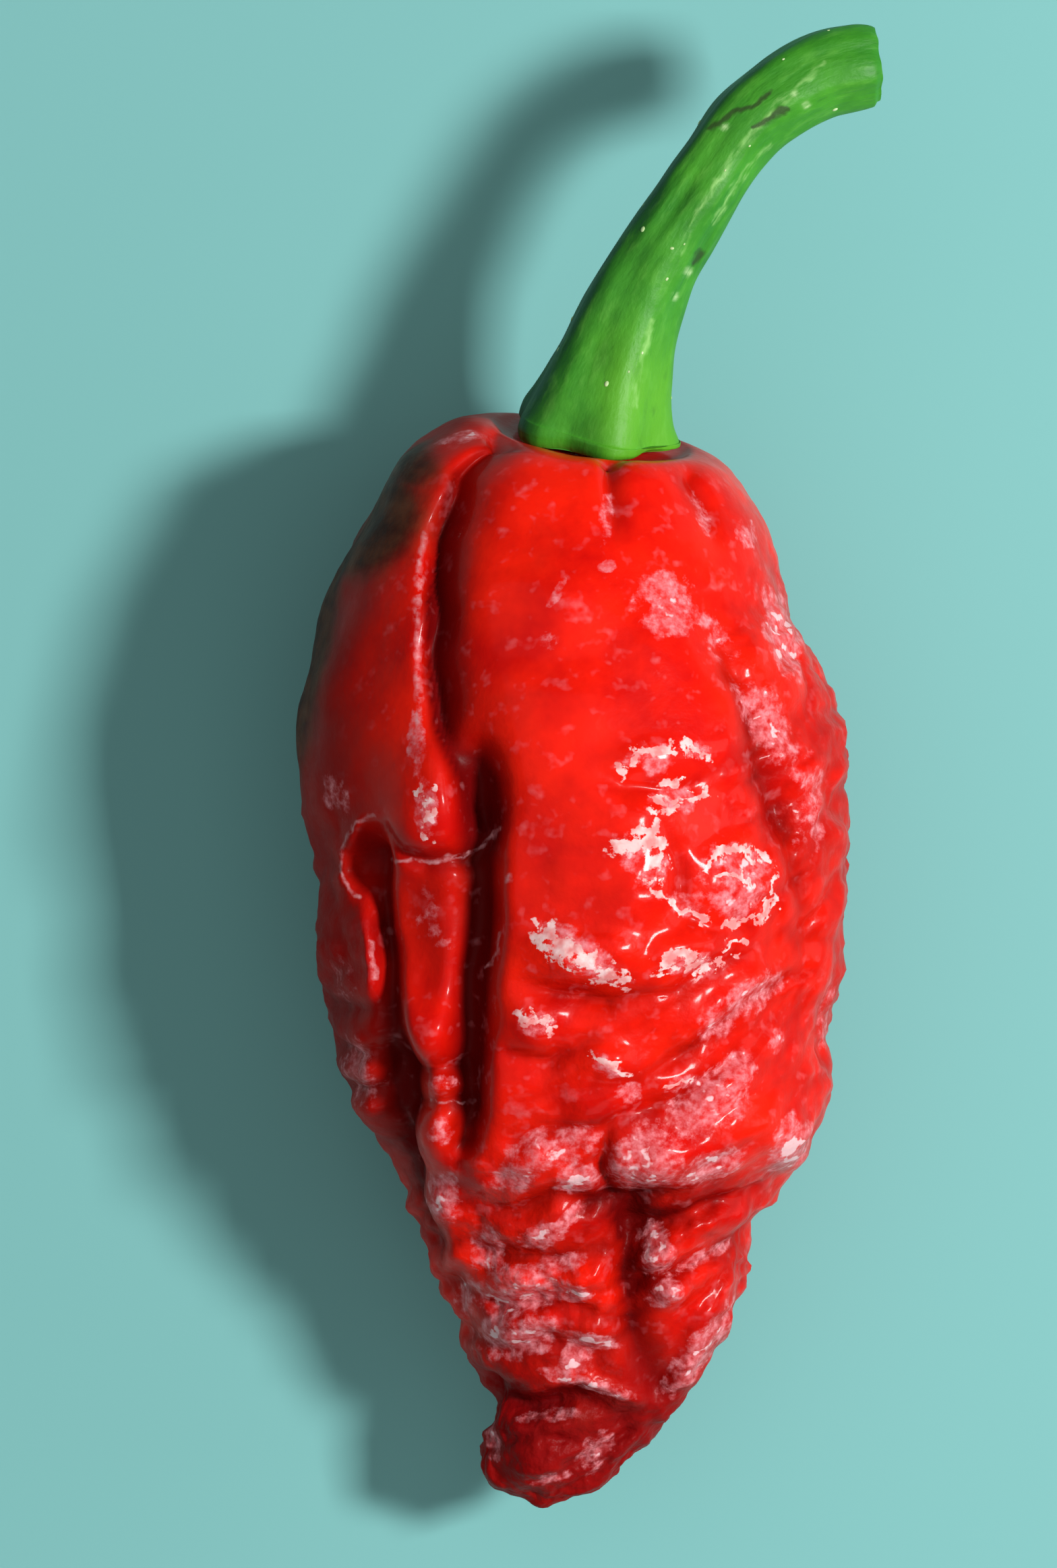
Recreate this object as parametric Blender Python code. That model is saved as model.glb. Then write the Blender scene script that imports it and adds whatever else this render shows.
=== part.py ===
"""A ghost pepper as picked: one wrinkled pod and the stem it hung from, lying on a flat surface.

The pod lies along Y with its stem end at +Y and its tip at -Y. The surface is the plane z = 0.
Every size below is in millimetres, and the finished meshes are scaled to metres.
"""
import math

import bmesh
import bpy
import numpy as np
from mathutils import Vector, noise

MM = 0.001

# Pod mesh: faces round the pod and from end to end
POD_AROUND = 90
POD_ALONG = 66

# Middle of the seat of the stem, and the ring round it where the skin goes from calm to wrinkled
SEAT = (0.9, 25.15, 13.3)
SEAT_CALM = 4.6
SEAT_EDGE = 7.5
SHOULDER_Y = 20.0

# Stations of the pod from the stem seat to the tip, seen from above: left edge (x, y), right edge (x, y),
# underside z, top z, and how far the top and the underside slip towards the tip
POD_STATIONS = (
    (*SEAT[:2], *SEAT[:2], SEAT[2], SEAT[2], 0.0, 0.0),
    (-3.5, 25.75, 5.3, 24.55, 8.9, 17.7, 1.35, -1.3),
    (-5.0, 26.5, 6.7, 24.7, 7.0, 19.8, 1.5, -1.2),
    (-7.2, 26.3, 8.6, 23.6, 5.3, 21.5, 1.3, -0.8),
    (-9.6, 24.7, 9.8, 21.5, 3.9, 22.9, 1.2, -0.3),
    (-10.9, 22.1, 10.9, 18.9, 2.7, 24.0, 0.9, 0.0),
    (-12.5, 19.6, 11.9, 16.2, 1.7, 24.9, 0.6, 0.0),
    (-13.8, 16.6, 13.2, 13.4, 0.8, 25.6, 0.3, 0.0),
    (-14.7, 13.4, 14.4, 10.8, 0.2, 26.1, 0.0, 0.0),
    (-15.3, 10.2, 15.3, 8.0, -0.3, 26.5, 0.0, 0.0),
    (-15.4, 7.2, 15.1, 5.3, -0.4, 26.7, 0.0, 0.0),
    (-15.0, 4.2, 15.3, 2.6, -0.4, 26.7, 0.0, 0.0),
    (-14.4, 1.2, 15.2, 0.0, -0.4, 26.5, 0.0, 0.0),
    (-14.4, -1.8, 14.9, -2.6, -0.4, 26.2, 0.0, 0.0),
    (-14.3, -4.6, 14.7, -5.2, -0.3, 25.7, 0.0, 0.0),
    (-13.8, -7.4, 14.2, -7.8, 0.1, 25.1, 0.0, 0.0),
    (-12.8, -10.2, 14.2, -10.4, 0.6, 24.4, 0.0, 0.0),
    (-11.6, -13.0, 13.4, -13.0, 1.2, 23.4, 0.0, 0.0),
    (-10.3, -15.6, 12.0, -15.6, 1.8, 21.9, 0.0, 0.0),
    (-9.4, -18.2, 10.2, -18.2, 2.5, 20.0, 0.0, 0.0),
    (-8.1, -20.8, 9.8, -20.8, 3.2, 18.6, 0.0, 0.0),
    (-6.8, -23.4, 8.7, -23.4, 4.0, 17.4, 0.0, 0.0),
    (-6.4, -25.8, 7.4, -25.8, 4.8, 16.2, 0.0, 0.0),
    (-5.0, -28.0, 6.0, -28.2, 5.6, 14.6, 0.0, 0.0),
    (-5.2, -29.8, 4.2, -30.2, 6.2, 13.5, 0.0, 0.0),
    (-5.4, -31.3, 3.1, -31.5, 6.8, 12.6, 0.0, 0.0),
    (-5.0, -32.5, 2.3, -32.4, 7.4, 11.8, 0.0, 0.0),
    (-4.1, -33.4, 0.8, -33.3, 8.2, 10.9, 0.0, 0.0),
    (-2.1, -34.1, -2.1, -34.1, 9.5, 9.5, 0.0, 0.0),
)

# Creases on the side that faces up. Each has its steepness, how much softer its left-hand side is for
# someone who follows the points, and the points (x, y, depth, half width). A negative depth is a crest
TOP_CREASES = {
    "long furrow beside the left lobe": (1.4, 4.8, (
        (-4.6, 25.4, 0.9, 0.3), (-6.7, 23.3, 1.4, 0.3), (-7.7, 20.0, 1.8, 0.32),
        (-8.1, 16.5, 2.0, 0.34), (-8.1, 12.5, 2.0, 0.34), (-7.7, 9.3, 1.8, 0.36),
        (-6.8, 7.4, 1.4, 0.4), (-5.8, 5.0, 0.8, 0.45))),
    "hollow at the foot of the furrow": (2.5, 1.0, ((-5.4, 7.3, 0.9, 1.2), (-5.0, 4.6, 1.2, 1.2))),
    "deep valley left of the big lobe": (2.2, 0.9, (
        (-5.3, 6.0, 1.0, 1.1), (-5.4, 3.0, 2.0, 1.1), (-5.4, -1.0, 2.3, 1.1), (-5.7, -5.5, 2.3, 1.1),
        (-5.9, -9.5, 2.1, 1.1), (-6.0, -13.4, 1.3, 0.9))),
    "valley by the left edge": (2.4, 1.0, (
        (-11.0, 2.4, 0.9, 0.55), (-10.8, -1.6, 1.7, 0.55), (-10.3, -3.8, 1.5, 0.55),
        (-10.2, -7.0, 1.6, 0.7), (-9.8, -9.4, 2.2, 1.1), (-9.8, -11.6, 2.2, 1.1),
        (-10.0, -14.2, 1.9, 1.0), (-9.4, -17.0, 1.5, 0.9), (-8.4, -19.2, 1.0, 0.8))),
    "undercut below the tongue": (1.5, 1.0, (
        (-10.4, 4.1, 0.4, 0.4), (-9.5, 2.7, 0.9, 0.5), (-8.2, 2.1, 1.0, 0.5), (-6.2, 2.1, 1.0, 0.5),
        (-4.6, 3.4, 0.5, 0.4))),
    "rim of the pit by the left edge": (1.6, 1.0, (
        (-11.0, 4.6, -0.3, 0.35), (-12.1, 4.1, -0.6, 0.35), (-12.9, 2.7, -0.7, 0.35),
        (-12.8, 1.0, -0.6, 0.35), (-12.0, 0.2, -0.2, 0.35))),
    "edge of the valley by the left edge": (1.6, 1.0, (
        (-11.9, -0.4, -0.1, 0.3), (-11.5, -2.4, -0.35, 0.3), (-11.2, -4.6, -0.3, 0.3),
        (-11.4, -6.0, 0.0, 0.3))),
    "seam under the middle knob": (1.5, 1.0, (
        (-10.2, -9.1, 0.6, 0.5), (-8.2, -9.4, 0.6, 0.45), (-6.2, -9.0, 0.6, 0.5))),
    "seam over the lower knob": (1.5, 1.0, (
        (-9.2, -11.2, 0.6, 0.45), (-7.6, -11.0, 0.5, 0.4), (-6.0, -11.3, 0.6, 0.45))),
    "seam over the left edge lumps": (1.5, 1.0, (
        (-13.8, -5.8, 0.5, 0.5), (-12.0, -6.2, 0.5, 0.5), (-10.8, -6.0, 0.4, 0.5))),
    "seam between the left edge lumps": (1.5, 1.0, (
        (-13.2, -8.4, 0.5, 0.45), (-10.8, -8.4, 0.5, 0.45))),
    "seam under the left edge lumps": (1.5, 1.0, (
        (-12.6, -10.6, 0.5, 0.45), (-10.8, -10.4, 0.5, 0.45))),
    "short seam from the stem": (1.4, 1.6, (
        (1.7, 24.2, 1.0, 0.45), (1.9, 21.4, 0.8, 0.5), (2.0, 19.4, 0.0, 0.5))),
    "seam on the right shoulder": (1.5, 1.0, (
        (6.2, 22.9, 0.7, 0.55), (7.2, 20.8, 0.5, 0.6), (7.9, 18.4, 0.0, 0.6))),
    "furrow between the right lobes": (1.6, 1.4, (
        (7.2, 15.4, 0.0, 0.6), (8.0, 12.6, 0.6, 0.6), (9.3, 9.8, 0.9, 0.65), (9.9, 6.6, 1.0, 0.65),
        (11.4, 3.6, 0.9, 0.65), (12.2, 0.6, 0.7, 0.6), (12.5, -3.6, 0.2, 0.6))),
    "crease under the upper glints": (1.5, 1.0, (
        (0.4, 7.4, 0.0, 0.5), (2.4, 5.9, 0.4, 0.5), (6.0, 6.2, 0.4, 0.5), (8.2, 7.2, 0.0, 0.5))),
    "crease over the ringed bulge": (1.5, 1.0, (
        (4.6, 4.2, 0.2, 0.5), (5.4, 1.8, 0.5, 0.5), (5.4, -0.4, 0.5, 0.5), (7.0, -1.8, 0.4, 0.5),
        (9.6, -1.6, 0.2, 0.5))),
    "fold across the middle": (1.2, 0.6, (
        (-3.2, -4.2, 0.3, 0.7), (-1.2, -5.0, 0.8, 0.6), (1.6, -5.4, 0.9, 0.55), (3.4, -5.0, 0.5, 0.5),
        (5.4, -4.9, 0.7, 0.55), (8.4, -3.2, 0.5, 0.6))),
    "fold under the bulge by the valley": (1.2, 0.7, (
        (-3.8, -8.2, 0.6, 0.55), (-1.4, -8.6, 0.7, 0.5), (0.6, -7.8, 0.3, 0.5))),
    "fold rising to the right edge": (1.2, 0.7, (
        (3.0, -9.8, 0.3, 0.6), (6.2, -8.0, 0.9, 0.6), (9.4, -5.6, 0.8, 0.6), (12.6, -4.0, 0.4, 0.6))),
    "fold above the ruffled part": (1.2, 0.7, (
        (-3.4, -13.2, 0.5, 0.6), (-0.4, -12.4, 0.7, 0.55), (2.4, -12.0, 0.8, 0.55),
        (5.4, -11.0, 0.8, 0.55), (8.6, -8.6, 0.6, 0.6))),
    "gap between the ruffles": (1.5, 1.0, (
        (1.6, -12.6, 0.4, 0.4), (1.5, -14.6, 1.0, 0.45), (1.9, -16.4, 1.0, 0.5))),
    "step where the pod narrows": (1.4, 0.5, (
        (-6.0, -16.6, 0.3, 0.8), (-3.4, -17.0, 0.7, 0.9), (-1.4, -16.2, 0.7, 0.9),
        (0.8, -16.8, 1.2, 1.0), (2.6, -16.7, 1.6, 1.0), (4.6, -16.2, 0.9, 0.9), (6.6, -16.4, 0.4, 0.8),
        (9.2, -15.2, 0.4, 0.7))),
    "slit right of the centre": (1.4, 0.8, (
        (2.6, -18.3, 1.2, 0.7), (4.4, -17.9, 1.3, 0.65), (6.6, -17.0, 1.0, 0.6),
        (10.2, -16.4, 0.5, 0.6))),
    "lower slit on the right": (1.4, 0.8, (
        (4.0, -20.9, 0.7, 0.6), (6.4, -20.2, 0.9, 0.6), (8.0, -19.4, 0.8, 0.6),
        (9.8, -18.2, 0.5, 0.6))),
    "valley down to the tip": (1.8, 1.7, (
        (2.9, -17.6, 1.1, 0.7), (2.9, -20.6, 1.2, 0.7), (3.0, -23.0, 1.3, 0.8), (3.6, -25.4, 1.3, 0.9),
        (4.5, -27.4, 0.9, 0.8))),
    "crease left of the narrow part": (1.5, 0.8, (
        (-7.6, -18.6, 0.3, 0.6), (-4.6, -19.6, 0.7, 0.6), (-1.2, -19.9, 0.8, 0.6),
        (1.4, -19.3, 0.4, 0.6))),
    "second crease left of the narrow part": (1.5, 0.8, (
        (-7.2, -21.6, 0.5, 0.55), (-4.4, -22.7, 0.7, 0.55), (-1.4, -22.4, 0.8, 0.55),
        (1.8, -22.9, 0.4, 0.6))),
    "third crease left of the narrow part": (1.5, 0.8, (
        (-6.4, -24.4, 0.5, 0.55), (-3.8, -25.0, 0.8, 0.55), (-1.6, -24.6, 0.6, 0.5),
        (1.0, -25.2, 0.7, 0.5), (2.6, -24.6, 0.3, 0.5))),
    "hollow over the tip": (1.6, 1.0, (
        (-4.9, -27.4, 1.0, 0.9), (-2.6, -28.4, 1.7, 1.0), (0.0, -27.6, 1.3, 0.8),
        (2.6, -28.9, 0.8, 0.8))),
    "lip over the tip": (1.5, 1.0, (
        (-3.0, -27.6, -0.3, 0.45), (-1.2, -26.9, -0.7, 0.45), (0.4, -26.5, -0.8, 0.45),
        (2.6, -27.5, -0.7, 0.45), (4.2, -28.0, -0.4, 0.45))),
    "fold round the tip": (1.5, 1.0, (
        (-4.6, -30.4, 0.5, 0.5), (-1.8, -29.9, 0.5, 0.5), (0.8, -30.6, 0.4, 0.5))),
    "fold under the tip": (1.5, 1.0, (
        (-1.6, -32.4, 0.3, 0.5), (1.0, -31.4, 0.6, 0.5), (3.0, -30.2, 0.5, 0.5))),
}

# Swellings on the side that faces up: x, y, half length across, half length along, turn in degrees, height
TOP_SWELLINGS = {
    "big middle lobe": (2.2, 3.0, 6.2, 15.0, 0.0, 0.8),
    "tongue": (-8.2, 5.8, 2.3, 3.6, 0.0, 1.2),
    "sunk column below the tongue": (-8.0, -1.6, 2.9, 3.9, 0.0, -1.3),
    "red knob below the column": (-8.5, -7.0, 1.7, 1.7, 0.0, 0.9),
    "small facet below the knob": (-7.4, -10.2, 0.9, 0.8, 0.0, 0.5),
    "second knob": (-7.7, -12.9, 1.3, 1.6, 0.0, 1.0),
    "pit by the left edge": (-11.5, 2.3, 1.1, 1.8, 0.0, -2.0),
    "long lobe by the left edge": (-12.3, -2.4, 1.6, 3.0, 8.0, 0.3),
    "upper lump by the left edge": (-12.1, -7.3, 1.1, 0.9, 0.0, 0.5),
    "middle lump by the left edge": (-11.8, -9.5, 1.0, 0.9, 0.0, 0.5),
    "lower lump by the left edge": (-11.5, -11.7, 0.8, 1.0, 0.0, 0.5),
    "left shoulder hump": (-9.2, 22.4, 2.4, 2.4, 20.0, 0.6),
    "bulge under the upper glints": (3.6, 7.6, 2.2, 1.0, 6.0, 0.4),
    "bulge with the white glints": (4.2, 4.0, 2.6, 1.5, -12.0, 0.5),
    "bulge beside the chain of glints": (3.6, 0.8, 1.8, 1.8, -35.0, 0.4),
    "ringed bulge": (8.3, 0.6, 2.3, 1.7, -12.0, 0.7),
    "bulge above the middle fold": (0.6, -3.2, 2.9, 1.3, -8.0, 0.7),
    "second bulge above the middle fold": (6.0, -3.0, 2.2, 1.1, 10.0, 0.5),
    "bulge by the valley": (-2.2, -6.6, 1.7, 1.5, -10.0, 0.7),
    "small bulge below it": (1.6, -8.8, 2.0, 0.8, -12.0, 0.4),
    "ridge rising to the right": (8.8, -5.6, 3.2, 0.9, 35.0, 0.6),
    "second ridge rising to the right": (8.4, -9.6, 3.0, 0.9, 38.0, 0.5),
    "ruffle left": (-2.2, -14.6, 2.0, 1.2, -6.0, 0.9),
    "ruffle beside the valley": (-5.6, -14.8, 1.0, 1.1, 0.0, 0.5),
    "ruffle right": (4.2, -14.2, 2.1, 1.3, 8.0, 0.9),
    "long ruffle to the right": (7.9, -12.9, 2.4, 0.9, 26.0, 0.7),
    "flap on the right edge": (11.5, -13.4, 1.5, 1.9, 30.0, 1.0),
    "pad left of the narrow part": (-7.3, -16.8, 1.2, 1.5, 0.0, 0.6),
    "small pad below it": (-6.8, -19.2, 0.9, 1.0, 0.0, 0.5),
    "knuckle over the narrow part": (-2.0, -18.3, 2.3, 0.9, 8.0, 0.6),
    "second knuckle": (-3.4, -21.1, 2.3, 0.9, 6.0, 0.5),
    "second knuckle's right end": (0.6, -21.2, 1.2, 0.9, 0.0, 0.45),
    "third knuckle": (-3.6, -23.7, 2.0, 0.8, 6.0, 0.5),
    "third knuckle's right end": (0.9, -23.6, 1.2, 0.8, -10.0, 0.4),
    "pad right of the slit": (4.7, -19.4, 1.0, 1.1, 10.0, 0.9),
    "long pad under the slit": (7.8, -17.8, 1.9, 0.7, 22.0, 0.6),
    "lower pad": (5.2, -21.6, 0.9, 0.9, 0.0, 0.7),
    "band down the right": (7.5, -23.4, 0.8, 3.2, -27.0, 1.0),
    "end of the band": (5.5, -27.6, 0.7, 1.8, -18.0, 0.7),
    "nub at the tip": (-2.2, -31.2, 2.0, 1.6, 0.0, 0.4),
}

# The flanks and the side it lies on have lobes and folds of their own. Here the first number of a point
# is the way round from the middle of the underside, towards the right flank, on a pod of the mean radius
MEAN_RADIUS = 13.5
UNDER_CREASES = {
    "left furrow underneath": (1.8, 1.0, (
        (-6.0, 25.0, 0.8, 1.4), (-9.6, 17.0, 1.4, 1.4), (-11.4, 8.0, 1.6, 1.4),
        (-11.0, -2.0, 1.5, 1.4), (-9.4, -10.0, 1.3, 1.4), (-7.6, -17.0, 0.9, 1.4))),
    "right furrow underneath": (1.8, 1.0, (
        (7.0, 24.0, 0.7, 1.4), (10.0, 15.0, 1.3, 1.4), (12.0, 6.0, 1.6, 1.4), (12.4, -4.0, 1.5, 1.4),
        (11.0, -13.0, 1.3, 1.4), (8.0, -20.0, 1.0, 1.4), (5.0, -26.0, 0.7, 1.4))),
    "seam from the stem underneath": (1.5, 1.0, ((0.6, 24.0, 0.8, 0.7), (-0.6, 19.0, 0.4, 0.7))),
    "furrow on the left flank": (1.6, 1.0, (
        (-15.6, 20.0, 0.3, 1.3), (-17.9, 14.0, 0.9, 1.4), (-16.9, 9.0, 1.1, 1.4),
        (-18.6, 4.0, 0.9, 1.2), (-16.8, -2.0, 1.1, 1.3), (-18.2, -8.0, 0.8, 1.2),
        (-15.4, -15.0, 0.4, 1.2))),
    "furrow on the right flank": (1.6, 1.0, (
        (16.0, 19.0, 0.3, 1.3), (18.6, 12.0, 0.9, 1.4), (17.2, 6.5, 1.0, 1.4), (19.0, 1.0, 0.8, 1.3),
        (17.0, -5.0, 1.0, 1.3), (18.6, -10.0, 0.7, 1.2), (16.0, -15.0, 0.4, 1.2))),
    "upper fold across the left lobe": (1.6, 1.0, (
        (-18.0, 5.4, 0.5, 0.9), (-14.6, 3.4, 0.9, 0.9), (-11.2, 4.2, 0.5, 0.9))),
    "lower fold across the left lobe": (1.6, 1.0, (
        (-17.4, -5.2, 0.6, 0.9), (-13.6, -7.4, 1.0, 0.9), (-10.0, -6.6, 0.6, 0.9))),
    "upper fold across the right lobe": (1.6, 1.0, (
        (12.2, -1.0, 0.5, 0.9), (15.4, 0.6, 0.8, 0.9), (18.2, -0.6, 0.5, 0.9))),
    "lower fold across the right lobe": (1.6, 1.0, (
        (11.8, -8.8, 0.6, 0.9), (15.0, -7.2, 1.0, 0.9), (18.2, -8.2, 0.6, 0.9))),
    "first fold towards the tip": (1.5, 0.6, (
        (-19.0, -14.6, 0.3, 1.2), (-7.0, -17.4, 0.8, 1.3), (2.0, -16.0, 0.5, 1.2),
        (18.0, -15.6, 0.6, 1.3))),
    "second fold towards the tip": (1.5, 1.5, (
        (-18.0, -20.8, 0.5, 1.2), (-4.0, -20.6, 0.3, 1.1), (6.0, -22.2, 0.8, 1.2),
        (18.0, -19.4, 0.4, 1.2))),
    "third fold towards the tip": (1.5, 0.6, (
        (-17.0, -25.2, 0.3, 1.1), (-4.0, -26.6, 0.7, 1.2), (8.0, -25.4, 0.4, 1.1),
        (17.0, -24.8, 0.5, 1.1))),
    "neck of the tip underneath": (1.6, 1.0, (
        (-17.0, -28.6, 0.7, 1.1), (0.0, -29.4, 0.8, 1.2), (17.0, -28.6, 0.6, 1.1))),
}

UNDER_SWELLINGS = {
    "left lobe underneath": (-14.6, 9.0, 2.8, 7.0, 0.0, 0.7),
    "left lobe towards the tip": (-14.0, -2.2, 2.6, 3.2, 0.0, 0.6),
    "right lobe underneath": (15.4, 7.0, 2.8, 5.0, 0.0, 0.6),
    "right lobe towards the tip": (15.2, -4.4, 2.6, 2.4, 0.0, 0.7),
    "knuckle underneath": (-4.0, -19.2, 5.0, 1.1, 0.0, 0.6),
    "second knuckle underneath": (4.0, -23.8, 5.0, 1.1, 0.0, 0.6),
}

# Wrinkles: pads of skin with creases between them, and flat facets on them. Both are longer across the
# pod than along it, rise towards the right edge, and fade away near the stem
PAD_ACROSS = 5.0
PAD_ALONG = 2.2
PAD_EDGE = 0.45
PAD_MEAN = 0.75
WRINKLE_HEIGHT = 0.32
FACET_ACROSS = 5.0
FACET_ALONG = 2.4
FACET_HEIGHT = 0.55
# Smooth floor of the valley above the tip: x, y, half length across, half length along, turn, how smooth
TAUT_FLOOR = (4.3, -24.8, 1.5, 3.0, -10.0, 0.85)
WRINKLE_RISE = 0.035
WRINKLE_BEND = 0.3
LEAST_CRUMPLED = 0.06
# Shallow unevenness all over the skin, and how far creases wander from their points
UNEVEN_SIZE = 4.5
UNEVEN_HEIGHT = 0.5
WANDER_SIZE = 3.2
WANDER_TOP = 0.45
WANDER_UNDER = 1.1
UPRIGHT_PUSH = 0.75

# Stem: centre line (x, y, z) and radius, from the seat on the pod to the cut end
STEM_STATIONS = (
    (0.93, 25.5, 13.4, 4.1),
    (0.96, 25.75, 13.48, 4.4),
    (1.04, 26.2, 13.6, 4.35),
    (1.3, 27.2, 13.9, 3.95),
    (1.85, 29.0, 14.3, 3.4),
    (2.55, 31.2, 14.7, 2.95),
    (3.7, 34.0, 15.2, 2.6),
    (5.5, 37.0, 15.9, 2.3),
    (7.7, 40.3, 16.4, 2.1),
    (9.4, 42.6, 16.6, 2.15),
    (11.3, 44.2, 16.6, 2.25),
    (13.3, 45.3, 16.4, 2.35),
    (15.0, 45.8, 16.2, 2.4),
    (16.0, 46.0, 16.1, 2.3),
    (16.5, 46.05, 16.05, 2.0),
)
STEM_POINTS = 40
STEM_SIDES = 30
STEM_RIBS = 5
STEM_RIB_HEIGHT = 0.05
CALYX_TEETH = 5
CALYX_TOOTH_DEPTH = 0.06
CALYX_HEIGHT = 3.0

SKIN_RED = (0.72, 0.012, 0.008, 1.0)
STEM_GREEN = (0.10, 0.30, 0.04, 1.0)


def along(stations, position):
    """Smooth curve through the stations, read at positions from 0 to 1."""
    rows = np.array(stations)
    last = len(rows) - 1
    place = np.clip(position, 0.0, 1.0) * last
    index = np.minimum(place.astype(int), last - 1)
    f = (place - index)[..., None]
    before, start = rows[np.maximum(index - 1, 0)], rows[index]
    end, after = rows[index + 1], rows[np.minimum(index + 2, last)]
    return 0.5 * (
        2.0 * start
        + (end - before) * f
        + (2.0 * before - 5.0 * start + 4.0 * end - after) * f ** 2
        + (3.0 * start - before - 3.0 * end + after) * f ** 3
    )


def smooth_pod(position, angle):
    """The pod without creases: position runs from stem to tip, angle 0 is right and 90 degrees is up."""
    row = along(POD_STATIONS, position)
    left_x, left_y, right_x, right_y, low_z, high_z, top_slip, low_slip = np.moveaxis(row, -1, 0)
    across = np.cos(angle)
    up = np.sin(angle)
    x = (left_x + right_x) / 2 + (right_x - left_x) / 2 * across
    y = (left_y + right_y) / 2 + (right_y - left_y) / 2 * across
    y = y - top_slip * np.maximum(up, 0.0) + low_slip * np.minimum(up, 0.0)
    z = (low_z + high_z) / 2 + (high_z - low_z) / 2 * up
    return np.stack((x, y, z), axis=-1)


def outward(position, angle):
    """Unit normals of the smooth pod."""
    step = 0.004
    inside = np.clip(position, 2 * step, 1.0 - 2 * step)
    lengthwise = smooth_pod(inside + step, angle) - smooth_pod(inside - step, angle)
    round_it = smooth_pod(inside, angle + step) - smooth_pod(inside, angle - step)
    normal = np.cross(round_it, lengthwise)
    return normal / np.linalg.norm(normal, axis=-1, keepdims=True)


def push_direction(normals):
    """Folds on the side that faces up go nearly straight down, so they stay where the tables say."""
    steep = 1.0 - UPRIGHT_PUSH * blend(normals[:, 2], 0.1, 0.6)
    pushed = normals * np.stack((steep, steep, np.ones(steep.shape)), axis=-1)
    return pushed / np.linalg.norm(pushed, axis=-1, keepdims=True)


def blend(value, low, high):
    """0 below low, 1 above high, and an even slope between them."""
    t = np.clip((value - low) / (high - low), 0.0, 1.0)
    return t * t * (3.0 - 2.0 * t)


def crease(x, y, steepness, left_softness, points):
    """Depth of a crease that follows the points."""
    nearest = np.full(x.shape, np.inf)
    depth = np.zeros(x.shape)
    width = np.ones(x.shape)
    for (ax, ay, *a_sizes), (bx, by, *b_sizes) in zip(points, points[1:]):
        dx, dy = bx - ax, by - ay
        f = np.clip(((x - ax) * dx + (y - ay) * dy) / (dx * dx + dy * dy), 0.0, 1.0)
        off_x, off_y = x - ax - f * dx, y - ay - f * dy
        distance = np.hypot(off_x, off_y)
        closer = distance < nearest
        nearest = np.where(closer, distance, nearest)
        depth = np.where(closer, a_sizes[0] + f * (b_sizes[0] - a_sizes[0]), depth)
        on_left = blend((dx * off_y - dy * off_x) / math.hypot(dx, dy), -0.2, 0.2)
        softness = 1.0 + (left_softness - 1.0) * on_left
        width = np.where(closer, (a_sizes[1] + f * (b_sizes[1] - a_sizes[1])) * softness, width)
    return depth * np.exp(-(nearest / width) ** steepness)


def swelling(x, y, centre_x, centre_y, half_across, half_along, turn, height):
    """Height of an oval swelling, flat-topped and soft at its foot."""
    c, s = math.cos(math.radians(turn)), math.sin(math.radians(turn))
    u = ((x - centre_x) * c + (y - centre_y) * s) / half_across
    v = ((y - centre_y) * c - (x - centre_x) * s) / half_along
    return height * np.exp(-(u * u + v * v) ** 1.4)


def noise_at(points):
    """Smooth noise from -1 to 1 at each point."""
    return np.array([noise.noise(Vector(p)) for p in points])


def wrinkle_places(points, size_across, size_along):
    """Points measured in wrinkles: stretched across the pod, rising to the right, and bent a little."""
    x, y, z = points.T
    level = y - WRINKLE_RISE * np.maximum(x - 1.0, 0.0) ** 1.8
    places = np.stack((x / size_across, level / size_along, z / size_across), axis=-1)
    return places + WRINKLE_BEND * noise_at(places * 1.1 + 23.0)[:, None]


def pads(points, size_across, size_along, edge):
    """1 on the pads of wrinkled skin, falling to 0 in the creases between them."""
    nearest = [noise.voronoi(Vector(p))[0] for p in wrinkle_places(points, size_across, size_along)]
    first, second = np.array(nearest).T[:2]
    return blend(second - first, 0.0, edge)


def facets(points, size_across, size_along):
    """Flat facets that meet in sharp folds, like crumpled foil, from about -0.5 to 0.5."""
    places = wrinkle_places(points, size_across, size_along)
    return np.array([0.6 - noise.voronoi(Vector(p), distance_metric="MANHATTAN")[0][0] for p in places])


def crumpled(points, normals):
    """How crumpled the skin is: taut in the upper middle, rough on the right and towards the tip."""
    x, y, z = points.T
    lower = blend(-y, 8.0, 20.0) * (1.0 - 0.45 * blend(-y, 20.0, 29.0))
    belly = 0.5 * blend(-y, -10.0, 6.0) * blend(x, -5.0, 0.0)
    right = 0.65 * blend(x, 5.0, 11.0) * blend(-y, -24.0, -12.0)
    left = 0.4 * blend(-x, 9.5, 12.0) * blend(-y, -10.0, 0.0)
    under = 0.4 * blend(-normals[:, 2], -0.2, 0.5)
    taut = 1.0 - blend(normals[:, 2], 0.0, 0.3) * swelling(x, y, *TAUT_FLOOR)
    most = taut * np.maximum.reduce((lower, belly, right, left, under))
    return LEAST_CRUMPLED + (1.0 - LEAST_CRUMPLED) * most


def away_from_seat(points):
    """0 where the stem sits, growing to 1 on the shoulders, so the skin stays calm round the stem."""
    x, y, z = points.T
    return np.where(y > SHOULDER_Y, blend(np.hypot(x - SEAT[0], z - SEAT[2]), SEAT_CALM, SEAT_EDGE), 1.0)


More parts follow.
